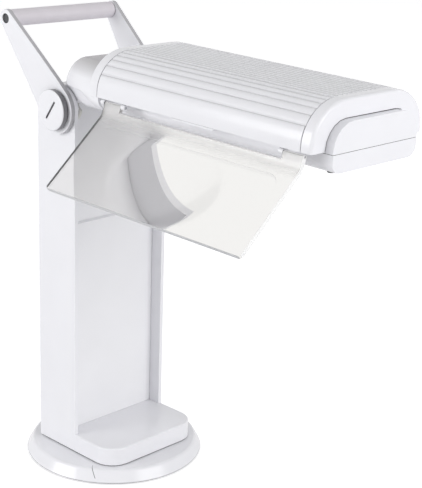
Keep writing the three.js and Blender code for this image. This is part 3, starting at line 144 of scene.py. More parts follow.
class Finish:
    """A material with its node tree, built by expressions."""

    def __init__(self, name):
        self.material = bpy.data.materials.new(name)
        self.material.use_nodes = True
        self.start(self.material.node_tree, "ShaderNodeOutputMaterial")

    def start(self, tree, output_kind):
        """Empty a node tree and give it its output."""
        self.tree = tree
        self.tree.nodes.clear()
        self.output = self.tree.nodes.new(output_kind)

    def feed(self, socket, value):
        """Link a field to a socket, or write a plain value on it."""
        if isinstance(value, Field):
            self.tree.links.new(value.socket, socket)
        elif isinstance(value, bpy.types.NodeSocket):
            self.tree.links.new(value, socket)
        elif isinstance(value, (int, float)) and socket.type == COLOUR:
            socket.default_value = (value, value, value, 1)
        elif isinstance(value, (int, float)) and socket.type == VECTOR:
            socket.default_value = (value, value, value)
        else:
            socket.default_value = value

    def make(self, kind, settings=None, sockets=None):
        """A node of any kind: its settings first, then its sockets."""
        made = self.tree.nodes.new(kind)
        for name, value in (settings or {}).items():
            setattr(made, name, value)
        for name, value in (sockets or {}).items():
            self.feed(made.inputs[name], value)
        return made

    def node(self, kind, settings=None, sockets=None, take=0):
        """The same, given back as a field of one of its outputs."""
        return Field(self, self.make(kind, settings, sockets).outputs[take])

    def maths(self, operation, *values):
        """A Math node, for what has no operator."""
        return self.node("ShaderNodeMath", {"operation": operation}, dict(enumerate(values)))

    def blend(self, operation, first, second, amount=1.0):
        """Colours mixed, added, taken away or multiplied."""
        how = {"data_type": "RGBA", "blend_type": operation}
        sockets = {MIX_FACTOR: amount, COLOUR_A: first, COLOUR_B: second}
        return self.node("ShaderNodeMix", how, sockets, take=COLOUR_RESULT)

    def between(self, field, low, high, out_low=0.0, out_high=1.0):
        """A number's range stretched onto another, and held inside it."""
        values = {0: field, 1: low, 2: high, 3: out_low, 4: out_high}
        return self.node("ShaderNodeMapRange", {"clamp": True}, values)

    def dot(self, first, second):
        """How far one vector runs along another."""
        how = {"operation": "DOT_PRODUCT"}
        return self.node("ShaderNodeVectorMath", how, {0: first, 1: second}, take="Value")

    def along(self, direction, amount):
        """A vector made longer by a number."""
        how = {"operation": "SCALE"}
        return self.node("ShaderNodeVectorMath", how, {0: direction, "Scale": amount})

    def place(self):
        """Where a point is on the lamp at rest, in metres."""
        return self.node("ShaderNodeTexCoord", take="Object")

    def own_normal(self):
        """Which way the surface faces on the lamp at rest."""
        return self.node("ShaderNodeTexCoord", take="Normal")

    def axis(self, letter, vector=None):
        """One of the three numbers of a vector, or of the place on the lamp."""
        return self.node("ShaderNodeSeparateXYZ", None, {0: vector or self.place()}, take=letter)

    def noise(self, scale, detail, stretch=None, rough=0.5):
        """A soft random pattern, about 1/scale metres across."""
        where = self.place()
        if stretch:
            where = where * stretch
        sockets = {"Vector": where, "Scale": scale, "Detail": detail, "Roughness": rough}
        return self.node("ShaderNodeTexNoise", None, sockets)

    def cells(self, scale, feature):
        """The distance to scattered points, about 1/scale metres apart."""
        sockets = {"Vector": self.place(), "Scale": scale}
        return self.node("ShaderNodeTexVoronoi", {"feature": feature}, sockets)

    def bump(self, height, distance, under=None):
        """A relief in metres, as a normal, on top of another one if there is one."""
        made = self.make("ShaderNodeBump", None, {"Distance": distance, "Height": height})
        if under:
            self.feed(made.inputs["Normal"], under)
        return Field(self, made.outputs[0])

    def shader(self, **sockets):
        """A glossy shader, its sockets named with _ for a space."""
        words = {name.replace("_", " "): value for name, value in sockets.items()}
        return self.make("ShaderNodeBsdfPrincipled", None, words)

    def mix_shaders(self, amount, first, second):
        """Two shaders, mixed from all of the first to all of the second."""
        sockets = {0: amount, 1: first.outputs[0], 2: second.outputs[0]}
        return self.make("ShaderNodeMixShader", None, sockets)

    def end_with(self, made):
        """Show this shader."""
        self.tree.links.new(made.outputs[0], self.output.inputs["Surface"])


print("finishes are ready")

# %% [markdown]
# Colours are easiest to name as a screen shows them, from 0 to 255, but a shader works with
# amounts of light. Blender's hex field changes one into the other by itself, and a script has to
# do it by the same curve, which is straight near black and a power above.

# %% Read a colour the way a picture shows it
CURVE_KNEE = 0.04045
CURVE_SLOPE = 12.92
CURVE_OFFSET = 0.055
CURVE_POWER = 2.4


def shown(red, green, blue):
    """The linear colour that a screen shows as these 0 to 255 values."""

    def linear(value):
        share = value / 255
        if share <= CURVE_KNEE:
            return share / CURVE_SLOPE
        return ((share + CURVE_OFFSET) / (1 + CURVE_OFFSET)) ** CURVE_POWER

    return (linear(red), linear(green), linear(blue), 1.0)


def shade_of(colour, share):
    """The same colour, lighter or darker."""
    return tuple(channel * share for channel in colour[:3]) + (1.0,)


WHITE = shown(241, 241, 245)
print("the lamp's white is", [round(channel, 3) for channel in WHITE])

# %% [markdown]
# ## Painted shade in the seams
# A grey line of painted shade darkens the colour wherever two mouldings meet, where shade falls.
# It could be painted along each seam, but that needs unwrapping and blurs. An ambient occlusion
# node that looks no further than two millimetres finds the seams by itself, and the tight inner
# corners, which get the same painted shade.

# %% Find the seams
SEAM_SHADE_COLOUR = shown(72, 71, 75)
SEAM_REACH = 0.002
SEAM_SAMPLES = 10
SEAM_SHUT = 0.12
SEAM_OPEN = 0.5
SEAM_DEPTH = 0.95


def with_painted_seam_shade(finish, tone):
    """The tone, with shade painted where two walls nearly touch."""
    how = {"samples": SEAM_SAMPLES}
    reach = {"Distance": SEAM_REACH}
    # The occlusion darkens the colour: this is painted shade in the seams and inner corners.
    open_share = finish.node("ShaderNodeAmbientOcclusion", how, reach, take="AO")
    painted_shade = finish.between(open_share, SEAM_SHUT, SEAM_OPEN, SEAM_DEPTH, 0.0)
    return finish.blend("MIX", tone, SEAM_SHADE_COLOUR, painted_shade)


print("seam dust shows as", [round(channel, 3) for channel in SEAM_SHADE_COLOUR])

# %% [markdown]
# ## White moulded plastic
# Nearly the whole lamp is injection-moulded in one cool white. Real mouldings are never one flat
# value: the colour drifts a little with wall thickness, the gloss is a touch duller in patches
# where hands rub and along fine upright scratches, and the skin has an orange peel a thousandth
# of a millimetre deep. Four noises, each at its own scale, give these. The column and its panel
# are a little glossier, and get no painted seam shade where they meet.

# %% The moulded plastic finish
SOFT_RANGE = (0.3, 0.7)
CLOUD_SCALE = 28
CLOUD_DRIFT = 0.02
HANDLED_SCALE = 11
HANDLED_RANGE = (0.35, 0.7)
HANDLED_DULLING = 0.05
SCRATCH_SCALE = 240
SCRATCH_STRETCH = (1.0, 1.0, 0.12)
SCRATCH_RANGE = (0.6, 0.72)
SCRATCH_DULLING = 0.03
PEEL_SCALE = 1500
PEEL_DEPTH = 0.0000012
PLASTIC_ROUGHNESS = 0.17
PLASTIC_INDEX = 1.5


def drifting(finish, colour):
    """A colour that is a little darker in soft clouds."""
    cloudy = finish.between(finish.noise(CLOUD_SCALE, detail=3), *SOFT_RANGE)
    return finish.blend("MIX", shade_of(colour, 1 - CLOUD_DRIFT), colour, cloudy)


def moulded_plastic(
    name, colour=WHITE, roughness=PLASTIC_ROUGHNESS, peel=PEEL_DEPTH, seam_shaded=True, second=None
):
    """The plastic. A second colour comes with the function that says where it lies."""
    finish = Finish(name)
    tone = drifting(finish, colour)
    if second:
        second_colour, where = second
        tone = finish.blend("MIX", tone, second_colour, where(finish))
    handled = finish.between(finish.noise(HANDLED_SCALE, detail=4, rough=0.6), *HANDLED_RANGE)
    scored = finish.noise(SCRATCH_SCALE, detail=3, stretch=SCRATCH_STRETCH)
    scratches = finish.between(scored, *SCRATCH_RANGE)
    plastic = finish.shader(
        # With seam_shaded, shade is painted into the colour at the seams.
        Base_Color=with_painted_seam_shade(finish, tone) if seam_shaded else tone,
        Roughness=roughness + handled * HANDLED_DULLING + scratches * SCRATCH_DULLING,
        IOR=PLASTIC_INDEX,
        Normal=finish.bump(finish.noise(PEEL_SCALE, detail=2), peel),
    )
    finish.end_with(plastic)
    return finish.material


white_plastic = moulded_plastic("white_moulded_plastic")
panel_plastic = moulded_plastic(
    "panel_moulded_plastic", shown(241, 241, 244), roughness=0.13, peel=PEEL_DEPTH / 2, seam_shaded=False
)
column_plastic = moulded_plastic("column_moulded_plastic", roughness=0.1, seam_shaded=False)
print("made", white_plastic.name, column_plastic.name, "and", panel_plastic.name)

# %% [markdown]
# ## Knobs and arms with painted shade
# The tension knobs have a white face, and grey is painted below it as shade: it shows in the coin
# slot and round the rim. The handle's arms have white flat sides, and shade is painted on their
# edges. Splitting either solid in two would add a part that isn't there, so both are the same
# plastic with one more colour, laid where a rule says so: below the knob's face, and where an arm
# doesn't face sideways.

# %% Painted shade under the knob's face and on the arms' edges
SIDEWAYS = (1.0, 0.0, 0.0)
KNOB_FACE = 0.0596
FACE_DEPTH = 0.0003
GREY_DEPTH = 0.0008
FLAT_FACING = 0.8
EDGE_FACING = 0.55


def painted_shade_below_face(finish):
    away = finish.maths("ABSOLUTE", finish.axis("X"))
    return finish.between(away, KNOB_FACE - FACE_DEPTH, KNOB_FACE - GREY_DEPTH)


def painted_shade_on_arm_edge(finish):
    sideways = finish.maths("ABSOLUTE", finish.dot(finish.own_normal(), SIDEWAYS))
    return finish.between(sideways, FLAT_FACING, EDGE_FACING)


print("knob face at", KNOB_FACE, "m from the middle")

# %% [markdown]
# ## Painted shade on the disc's rim, and its mark
# The disc's rim is painted darker low down, near the desk, as contact shade, and a short dark mark
# crosses its flank. A mark can be cut as a groove, but this one is under a millimetre wide, so it
# is drawn where the flank lies close to a plane through the mark's two ends.

# %% Painted shade low on the rim, and one short mark
DISC_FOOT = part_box("swivel_disc")[0].z
RIM_SHADE_TOP = DISC_FOOT + 0.0016
RIM_SHADE_FULL = DISC_FOOT + 0.0004
MARK_TOP = Vector((-0.056, -0.036, 0.0118))
MARK_FOOT = Vector((-0.057, -0.041, 0.005))
MARK_HALF_WIDTH = 0.00035
MARK_CORE_SHARE = 0.6
MARK_FADE = 0.0002
MARK_LEAN = 0.5
MARK_RADII = (0.064, 0.0655)


def painted_rim_shade_and_mark(finish):
    where = finish.place()
    height = finish.axis("Z")
    # Painted contact shade, darkest where the rim meets the desk.
    rim_shade = finish.between(height, RIM_SHADE_TOP, RIM_SHADE_FULL)
    outward = Vector((MARK_TOP.x, MARK_TOP.y, 0)).normalized()
    leaning = outward + Vector((0, 0, MARK_LEAN))
    across_mark = (MARK_FOOT - MARK_TOP).cross(leaning).normalized()
    beside = finish.dot(where, tuple(across_mark)) - across_mark.dot(MARK_TOP)
    beside = finish.maths("ABSOLUTE", beside)
    mark = finish.between(beside, MARK_HALF_WIDTH, MARK_HALF_WIDTH * MARK_CORE_SHARE)
    mark = mark * finish.between(height, MARK_FOOT.z - MARK_FADE, MARK_FOOT.z + MARK_FADE)
    mark = mark * finish.between(height, MARK_TOP.z + MARK_FADE, MARK_TOP.z - MARK_FADE)
    mark = mark * finish.between(finish.dot(where, tuple(outward)), *MARK_RADII)
    return finish.maths("MAXIMUM", rim_shade, mark)


print("disc foot at", round(DISC_FOOT, 4), "m")

# %% [markdown]
# ## The hinge end of the head
# The rounded hinge end has grey painted where it faces up, under the handle, as shade. A darker
# colour all over would also dim its sides, so the painted shade follows how far the surface faces
# up, and it stops where the ribbed shade begins.

# %% Painted shade where the hinge end faces up, and the four finishes with a second colour
UPWARDS = (0.0, 0.0, 1.0)
HINGE_END = -0.046
HINGE_FADE = 0.001
TOP_SHADE_FACING = (0.35, 1.0)


def painted_hinge_top_shade(finish):
    upward = finish.dot(finish.own_normal(), UPWARDS)
    nearby = finish.between(finish.axis("Y"), HINGE_END, HINGE_END + HINGE_FADE)
    return finish.between(upward, *TOP_SHADE_FACING) * nearby


# The second colours of the hinge end, the disc's rim, the knobs and the arms are painted shade; the disc's
# mark is a real mark.
hinge_plastic = moulded_plastic("hinge_plastic", second=(shown(190, 188, 190), painted_hinge_top_shade))
disc_plastic = moulded_plastic("disc_plastic", second=(shown(132, 131, 135), painted_rim_shade_and_mark))
knob_plastic = moulded_plastic("knob_plastic", second=(shown(128, 127, 131), painted_shade_below_face))
arm_plastic = moulded_plastic("arm_plastic", second=(shown(184, 183, 187), painted_shade_on_arm_edge))
print("made", [m.name for m in (hinge_plastic, disc_plastic, knob_plastic, arm_plastic)])

# %% [markdown]
# ## The ribbed shade
# The shade is the same plastic, with grooves along the head at an even pitch, which are cut in
# the solid. Between two grooves each rib is crowned by less than a millimetre, so it has a lit
# flank and a dim one, and shade is painted into the groove. A wave across X finds the grooves
# again: it gives the crown as a bump, and its low places get the painted shade. No vertex is touched.

# %% The shade's finish: crowned ribs, with painted shade in their grooves
RIB_PITCH = 0.00512
RIB_CROWN = 0.0009
GROOVE_FULL = 0.0003
GROOVE_EDGE = 0.0009
GROOVE_TONE_SHARE = 0.75
GROOVE_SHADE_SHARE = 0.6
GROOVE_DULLING = 0.12
SHADE_ROUGHNESS = 0.2


def ribbed_plastic(name):
    finish = Finish(name)
    phase = finish.maths("PINGPONG", finish.axis("X"), RIB_PITCH / 2)
    from_crest = 1 - phase * (2 / RIB_PITCH)
    crown = 1 - from_crest * from_crest
    in_groove = finish.between(phase, GROOVE_FULL, GROOVE_EDGE, 1.0, 0.0)
    groove_shade_tone = shade_of(WHITE, GROOVE_TONE_SHARE)
    # The grooves get shade painted into their colour.
    painted_shade = in_groove * GROOVE_SHADE_SHARE
    handled = finish.between(finish.noise(HANDLED_SCALE, detail=4), *HANDLED_RANGE)
    skin = finish.bump(finish.noise(PEEL_SCALE, detail=2), PEEL_DEPTH)
    plastic = finish.shader(
        Base_Color=finish.blend("MIX", drifting(finish, WHITE), groove_shade_tone, painted_shade),
        Roughness=SHADE_ROUGHNESS + handled * HANDLED_DULLING + in_groove * GROOVE_DULLING,
        IOR=PLASTIC_INDEX,
        Normal=finish.bump(crown, RIB_CROWN, under=skin),
    )
    finish.end_with(plastic)
    return finish.material


shade_plastic = ribbed_plastic("ribbed_shade_plastic")
print("made", shade_plastic.name)

# %% [markdown]
# ## The grip bar, rubber and nylon
# The grip is a darker, satin plastic with a fine grain. The rubber feet and the cord's grommet
# are matt, and the switch is black plastic. The bearing, the washers, the switch's plunger and
# cam and the tube's base and socket are unfilled nylon, a little yellow. One function covers them
# all, as they differ only in colour, gloss and the size and depth of their grain.

# %% The grained finish, from satin to matt
GRAIN_CLOUD_SCALE = 60
GRAIN_DRIFT = 0.06
GRAIN_DULLING = 0.08
PIT_TONE_SHARE = 0.9
PIT_REACH = 0.3
PIT_DEPTH_SHARE = 0.5
FINE_RELIEF = 0.000004
RUBBER_RELIEF = 0.00002


def grained(name, colour, roughness, grain, relief=FINE_RELIEF):
    finish = Finish(name)
    texture = finish.cells(grain, "SMOOTH_F1")
    cloudy = finish.between(finish.noise(GRAIN_CLOUD_SCALE, detail=4), *SOFT_RANGE)
    tone = finish.blend("MIX", shade_of(colour, 1 - GRAIN_DRIFT), colour, cloudy)
    pits = finish.between(texture, 0.0, PIT_REACH, PIT_DEPTH_SHARE, 0.0)
    surface = finish.shader(
        Base_Color=finish.blend("MIX", tone, shade_of(colour, PIT_TONE_SHARE), pits),
        Roughness=roughness + cloudy * GRAIN_DULLING,
        Normal=finish.bump(texture, relief),
    )
    finish.end_with(surface)
    return finish.material


grip_plastic = grained("grip_satin_plastic", shown(223, 218, 224), 0.4, grain=1600)
black_rubber = grained("black_rubber", shown(52, 52, 54), 0.8, grain=1200, relief=RUBBER_RELIEF)
nylon = grained("natural_nylon", shown(226, 225, 218), 0.5, grain=900)
switch_plastic = grained("black_switch_plastic", shown(44, 44, 46), 0.5, grain=1500)
print("made", [m.name for m in (grip_plastic, black_rubber, nylon, switch_plastic)])

# %% [markdown]
# ## Metals
# The screws and bolts are plated or blackened steel, the plates are rolled sheet and the
# reflector is polished. The contact pins are brass and the ballast is wound with copper wire.
# What tells them apart, colour aside, is the grain: a fine noise, stretched into lines along the
# rolling or the winding, and left round on plating. A slow noise adds soft blotches to them all.

# %% The metal finish
METAL_GRAIN = 700
METAL_RELIEF = 0.000006
BLOTCH_SCALE = 90
BLOTCH_DRIFT = 0.12
LINE_DULLING = 0.12
BLOTCH_DULLING = 0.06
ROLLED = (0.06, 1.0, 1.0)
ROLLED_LENGTHWISE = (1.0, 0.05, 1.0)
WOUND = (1.0, 1.0, 6.0)


def metal(name, colour, roughness, stretch=(1.0, 1.0, 1.0), grain=METAL_GRAIN, relief=METAL_RELIEF):
    finish = Finish(name)
    lines = finish.noise(grain, detail=3, stretch=stretch)
    blotches = finish.between(finish.noise(BLOTCH_SCALE, detail=4, rough=0.6), *SOFT_RANGE)
    surface = finish.shader(
        Base_Color=finish.blend("MIX", shade_of(colour, 1 - BLOTCH_DRIFT), colour, blotches),
        Metallic=1.0,
        Roughness=roughness + lines * LINE_DULLING + blotches * BLOTCH_DULLING,
        Normal=finish.bump(lines, relief),
    )
    finish.end_with(surface)
    return finish.material


plated_steel = metal("plated_steel", shown(196, 198, 202), 0.26)
sheet_steel = metal("rolled_sheet_steel", shown(188, 190, 194), 0.3, stretch=ROLLED)
black_steel = metal("blackened_steel", shown(86, 87, 90), 0.38)
bright_sheet = metal(
    "polished_reflector", shown(232, 234, 236), 0.12, stretch=ROLLED_LENGTHWISE, relief=0.000002
)
brass = metal("contact_brass", shown(214, 178, 98), 0.24)
winding_wire = metal(
    "winding_copper", shown(176, 104, 58), 0.34, stretch=WOUND, grain=260, relief=0.0002
)
print("made", [m.name for m in (plated_steel, sheet_steel, black_steel, bright_sheet, brass, winding_wire)])

# %% [markdown]
# ## Raw castings
# The two weights are iron castings that nobody sees, left as they came from the sand: dark, with
# pits a millimetre or two wide and a little rust. Cells give the pits, a rough noise gives the
# sand's print, and a slow noise says where rust has started.

# %% A raw casting for the weights
CASTING_PIT_SCALE = 620
SAND_SCALE = 420
SAND_RANGE = (0.35, 0.65)
SAND_TONE_SHARE = 0.7
SAND_DULLING = 0.15
RUST = shown(104, 78, 62)
RUST_SCALE = 35
RUST_RANGE = (0.6, 0.8)
RUST_SHARE = 0.4
CASTING_METAL_SHARE = 0.5
CASTING_ROUGHNESS = 0.72
CASTING_RELIEF = 0.0003


def raw_casting(name, colour):
    finish = Finish(name)
    pits = finish.cells(CASTING_PIT_SCALE, "F1")
    sand = finish.noise(SAND_SCALE, detail=5, rough=0.7)
    sanded = finish.between(sand, *SAND_RANGE)
    tone = finish.blend("MIX", shade_of(colour, SAND_TONE_SHARE), colour, sanded)
    rusty = finish.between(finish.noise(RUST_SCALE, detail=4), *RUST_RANGE) * RUST_SHARE
    surface = finish.shader(
        Base_Color=finish.blend("MIX", tone, RUST, rusty),
        Metallic=CASTING_METAL_SHARE,
        Roughness=CASTING_ROUGHNESS + sand * SAND_DULLING,
        Normal=finish.bump(pits * 0.5 + sand * 0.5, CASTING_RELIEF),
    )
    finish.end_with(surface)
    return finish.material


cast_iron = raw_casting("raw_cast_iron", shown(88, 88, 90))
print("made", cast_iron.name)

# %% [markdown]
# ## The clear magnifier
# The magnifier is a polished acrylic sheet, bent below its ears, with a lens moulded into the
# leaf. Its finish has to know where it is on the sheet, and the sheet hangs at a slant, so plain
# X, Y and Z are no help. Three directions of the sheet's own are worked out first, and its ends
# are read from its corners. Its near end is the one by the column.

# %% Measure the sheet along the head, down the leaf and out of its face
HEAD_SLOPE = math.radians(1.4)
SHEET_LEAN = math.radians(47.9)
LEAF_LENGTH = 0.0686
sheet_across = Vector((0.0, math.cos(HEAD_SLOPE), math.sin(HEAD_SLOPE)))
sheet_out = Vector((
    -math.cos(SHEET_LEAN),
    -math.sin(SHEET_LEAN) * math.sin(HEAD_SLOPE),
    math.sin(SHEET_LEAN) * math.cos(HEAD_SLOPE),
))
sheet_down = sheet_out.cross(sheet_across)
sheet_corners = [vertex.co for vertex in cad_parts["magnifier_sheet"].data.vertices]


def extent(direction):
    """The lowest and highest place of the sheet along a direction."""
    places = [direction.dot(corner) for corner in sheet_corners]
    return min(places), max(places)


far_end, near_end = extent(sheet_across)
top_end, low_end = extent(sheet_down)
leaf_start = low_end - LEAF_LENGTH
leaf_middle = 0.5 * (far_end + near_end), low_end - 0.5 * LEAF_LENGTH
print("across:", round(far_end, 4), round(near_end, 4), "down:", round(top_end, 4), round(low_end, 4))

# %% [markdown]
# A lens is a surface whose normal leans outwards the further it is from the middle. The solid
# has only a low crown, so the shader leans the normal itself, on both faces, in place of the
# leaf's own. Carving a full crown into the mesh would need thousands of faces to look smooth.
# The two powers are not true optics: they were set until what shows through the leaf came
# close to the picture, and they suit that view alone. From other sides, or with the magnifier
# swung, the leaf can show a hard-edged crescent, an oval or rings, as no real lens would.

# %% The lens, as a leaning normal
LENS_POWER_ACROSS = 1.78
LENS_POWER_DOWN = 2.75
LENS_HALF_ACROSS = 0.056
LENS_HALF_DOWN = 0.040
LENS_FADE = (1.0, 0.7)
LEAF_FADE = 0.0003
INNER_FACING = -0.2


def sign_of(flag):
    """No and yes, 0 and 1, as 1 and -1."""
    return 1 - flag * 2


def lens_normal(finish, own_normal, across, down):
    """The sheet's normal: its own on the ears and the bend, and leaning on the leaf."""
    turned = finish.dot(own_normal, tuple(sheet_out))
    side = sign_of(finish.maths("LESS_THAN", turned, INNER_FACING))
    on_leaf = finish.between(down, leaf_start, leaf_start + LEAF_FADE)
    aside = across - leaf_middle[0]
    below = down - leaf_middle[1]
    from_middle = aside * aside * (1 / LENS_HALF_ACROSS**2) + below * below * (1 / LENS_HALF_DOWN**2)
    in_lens = finish.between(from_middle, *LENS_FADE)
    behind = finish.node("ShaderNodeNewGeometry", take="Backfacing")
    lean = finish.along(tuple(sheet_across), aside * LENS_POWER_ACROSS)
    lean = lean + finish.along(tuple(sheet_down), below * LENS_POWER_DOWN)
    leaned = finish.along(tuple(sheet_out), side) + finish.along(lean, sign_of(behind) * in_lens)
    sockets = {MIX_FACTOR: on_leaf, VECTOR_A: own_normal, VECTOR_B: leaned}
    normal = finish.node("ShaderNodeMix", {"data_type": "VECTOR"}, sockets, take=VECTOR_RESULT)
    how = {"vector_type": "NORMAL", "convert_from": "OBJECT", "convert_to": "WORLD"}
    return finish.node("ShaderNodeVectorTransform", how, {0: normal})


print("lens power:", LENS_POWER_ACROSS, LENS_POWER_DOWN)

# %% [markdown]
# Three more things tell acrylic from air: a faint tint, a bend that has gone slightly milky where
# it was heated, and milled edges. Clear glass alone would leave the edges nearly invisible, so
# they are a plain surface laid where the sheet ends: light grey along the foot, dark at the near
# end as a painted reflection of the column's shade, and pale at the far end and in the slot
# between the ears as a painted highlight.

# %% The clear acrylic finish
SHEET_TINT = shown(243, 242, 240)
ACRYLIC_INDEX = 1.49
POLISHED_ROUGHNESS = 0.004
SMEAR_SCALE = 40
SMEAR_RANGE = (0.5, 0.75)
SMEAR_DULLING = 0.012
BEND_LENGTH = 0.007
HEAT_REACH = 0.004
HEAT_DULLING = 0.2
MILKY_SHARE = 0.45
MILKY_ROUGHNESS = 0.35
MILLED_ROUGHNESS = 0.3
EDGE_REACH = 0.0006
SLOT_FACING = (0.78, 0.86)
HIGHLIGHT_SHARE = 0.8


def near_the_end(finish, place, end, inwards):
    """One close to an end of the sheet, fading to zero a little way in."""
    return finish.between(place, end + inwards * EDGE_REACH, end + inwards * 0.5 * EDGE_REACH)


def clear_acrylic(name):
    finish = Finish(name)
    own_normal = finish.own_normal()
    across = finish.dot(finish.place(), tuple(sheet_across))
    down = finish.dot(finish.place(), tuple(sheet_down))
    smears = finish.between(finish.noise(SMEAR_SCALE, detail=4), *SMEAR_RANGE)
    heated = finish.between(down, leaf_start + HEAT_REACH, leaf_start - BEND_LENGTH)
    polished = finish.shader(
        Base_Color=SHEET_TINT,
        Roughness=POLISHED_ROUGHNESS + smears * SMEAR_DULLING + heated * HEAT_DULLING,
        IOR=ACRYLIC_INDEX,
        Transmission_Weight=1.0,
        Normal=lens_normal(finish, own_normal, across, down),
    )
    milky = finish.shader(
        Base_Color=shown(244, 243, 243), Roughness=MILKY_ROUGHNESS, IOR=ACRYLIC_INDEX
    )
    clouded = finish.mix_shaders(heated * MILKY_SHARE, polished, milky)
    near_edge = near_the_end(finish, across, near_end, -1)
    low_edge = near_the_end(finish, down, low_end, -1)
    far_edge = near_the_end(finish, across, far_end, 1)
    upward = finish.maths("ABSOLUTE", finish.dot(own_normal, UPWARDS))
    painted_highlight = finish.maths("MAXIMUM", far_edge, finish.between(upward, *SLOT_FACING))
    edge_grey_and_highlight = finish.blend("MIX", shown(196, 197, 199), shown(252, 252, 252), painted_highlight)
    milled = finish.shader(
        # The near end's dark grey is a painted reflection of shade.
        Base_Color=finish.blend("MIX", edge_grey_and_highlight, shown(96, 97, 100), near_edge),
        Roughness=MILLED_ROUGHNESS,
        IOR=ACRYLIC_INDEX,
    )
    dull = finish.maths("MAXIMUM", near_edge, low_edge)
    is_milled = finish.maths("MAXIMUM", dull, painted_highlight * HIGHLIGHT_SHARE)
    finish.end_with(finish.mix_shaders(is_milled, clouded, milled))
    return finish.material


clear_sheet = clear_acrylic("clear_acrylic")
print("made", clear_sheet.name)

# %% [markdown]
# ## The fluorescent tube
# The tube is glass coated inside with white phosphor powder: matt chalk seen through a glossy
# skin, slightly grey near its base where the electrodes have darkened it. A coat over a rough
# white base gives both. It is switched off here, as the room is bright.

# %% The tube's finish
TUBE_BASE_PLACE = -0.09
DARK_LENGTH = 0.018
POWDER_SCALE = 300
POWDER_ROUGHNESS = 0.6
POWDER_DULLING = 0.1
GLASS_WEIGHT = 0.8
GLASS_ROUGHNESS = 0.05


def phosphor_tube(name):
    finish = Finish(name)
    darkened = finish.between(finish.axis("Y"), TUBE_BASE_PLACE, TUBE_BASE_PLACE + DARK_LENGTH)
    powder = finish.noise(POWDER_SCALE, detail=3)
    tube = finish.shader(
        Base_Color=finish.blend("MIX", shown(247, 247, 244), shown(186, 184, 180), darkened),
        Roughness=POWDER_ROUGHNESS + powder * POWDER_DULLING,
        Coat_Weight=GLASS_WEIGHT,
        Coat_Roughness=GLASS_ROUGHNESS,
    )
    finish.end_with(tube)
    return finish.material


tube_glass = phosphor_tube("phosphor_tube")
print("made", tube_glass.name)

# %% [markdown]
# ## Giving each solid its finish
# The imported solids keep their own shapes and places. A table from finish to nodes keeps the
# choice in one view, and a check that no node was forgotten costs one line.

# %% Hand out the finishes
FINISH_OF = {
    white_plastic: [
        "top_cover", "rear_cover", "lamp_tray", "near_trim", "far_trim", "magnifier_catch",
    ],
    hinge_plastic: ["lamp_housing", "hinge_cap"],
    disc_plastic: ["swivel_disc"],
    knob_plastic: ["tension_knob_left", "tension_knob_right"],
    arm_plastic: ["handle_arm_left", "handle_arm_right"],
    column_plastic: ["column_body"],
    panel_plastic: ["front_panel"],
    shade_plastic: ["shade_cover"],
    grip_plastic: ["grip_bar"],
    black_rubber: ["rubber_feet", "cord_grommet"],
    nylon: [
        "swivel_bearing", "friction_washer_left", "friction_washer_right",
        "switch_plunger", "switch_cam", "tube_base", "lamp_socket",
    ],
    switch_plastic: ["interlock_switch"],
    sheet_steel: ["base_underplate", "foot_plate", "ballast_bracket", "tube_clip"],
    plated_steel: [
        "swivel_spindle", "spindle_nut", "base_screw_1", "base_screw_2", "pivot_bolt_left",
        "pivot_bolt_right", "pivot_nut_left", "pivot_nut_right", "magnifier_pin_1",
        "magnifier_pin_2",
    ],
    black_steel: [
        "rear_screw_1", "rear_screw_2", "foot_screw_1", "foot_screw_2", "grip_screw_left",
        "grip_screw_right", "housing_screw_1", "housing_screw_2", "housing_screw_3",
        "housing_screw_4", "ballast_core",
    ],
    cast_iron: ["base_weight", "foot_weight"],
    winding_wire: ["ballast_coil"],
    brass: ["contact_pin_1", "contact_pin_2"],
    bright_sheet: ["reflector"],
    tube_glass: ["fluorescent_tube"],
    clear_sheet: ["magnifier_sheet"],
}

finished = set()
for finish_material, names in FINISH_OF.items():
    for name in names:
        node_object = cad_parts[name]
        node_object.data.materials.clear()
        node_object.data.materials.append(finish_material)
        finished.add(name)
print("without a finish:", sorted(set(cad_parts) - finished))

# %% [markdown]
# ## Soft edges
# A mould never leaves a knife edge: each corner has a radius of a few tenths of a millimetre,
# and that radius is what catches the light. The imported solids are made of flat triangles, so
# five modifiers do small jobs without touching them: weld the corners, dissolve the triangles of
# a flat face into one, shade gentle turns as curves, round each sharp edge, and keep large faces
# from being shaded by the small ones beside them. The third has to be made from nodes.

# %% A modifier that shades gentle turns as curves
SHARP_TURN = math.radians(38)


def gentle_turns():
    group = bpy.data.node_groups.new("gentle_turns", "GeometryNodeTree")
    for way in ("INPUT", "OUTPUT"):
        group.interface.new_socket("Geometry", in_out=way, socket_type="NodeSocketGeometry")
    start = group.nodes.new("NodeGroupInput")
    bare = group.nodes.new("GeometryNodeRemoveAttribute")
    bare.inputs["Name"].default_value = "custom_normal"
    faces = group.nodes.new("GeometryNodeSetShadeSmooth")
    edges = group.nodes.new("GeometryNodeSetShadeSmooth")
    edges.domain = "EDGE"
    creases = group.nodes.new("GeometryNodeSetShadeSmooth")
    creases.domain = "EDGE"
    creases.inputs["Shade Smooth"].default_value = False
    turn = group.nodes.new("GeometryNodeInputMeshEdgeAngle")
    sharp = group.nodes.new("FunctionNodeCompare")
    sharp.operation = "GREATER_THAN"
    sharp.inputs[1].default_value = SHARP_TURN
    group.links.new(turn.outputs["Unsigned Angle"], sharp.inputs[0])
    group.links.new(sharp.outputs[0], creases.inputs["Selection"])
    chain = [start, bare, faces, edges, creases, group.nodes.new("NodeGroupOutput")]
    for before, after in zip(chain, chain[1:]):
        group.links.new(before.outputs[0], after.inputs[0])
    return group


shading = gentle_turns()
print("made", shading.name)

# %% [markdown]
# The order matters: triangles can only be dissolved once their corners are welded, and an edge is
# only rounded cleanly once it is the edge of a whole face. Modifiers are used rather than edits,
# so that the solids' own vertices stay as they were imported.

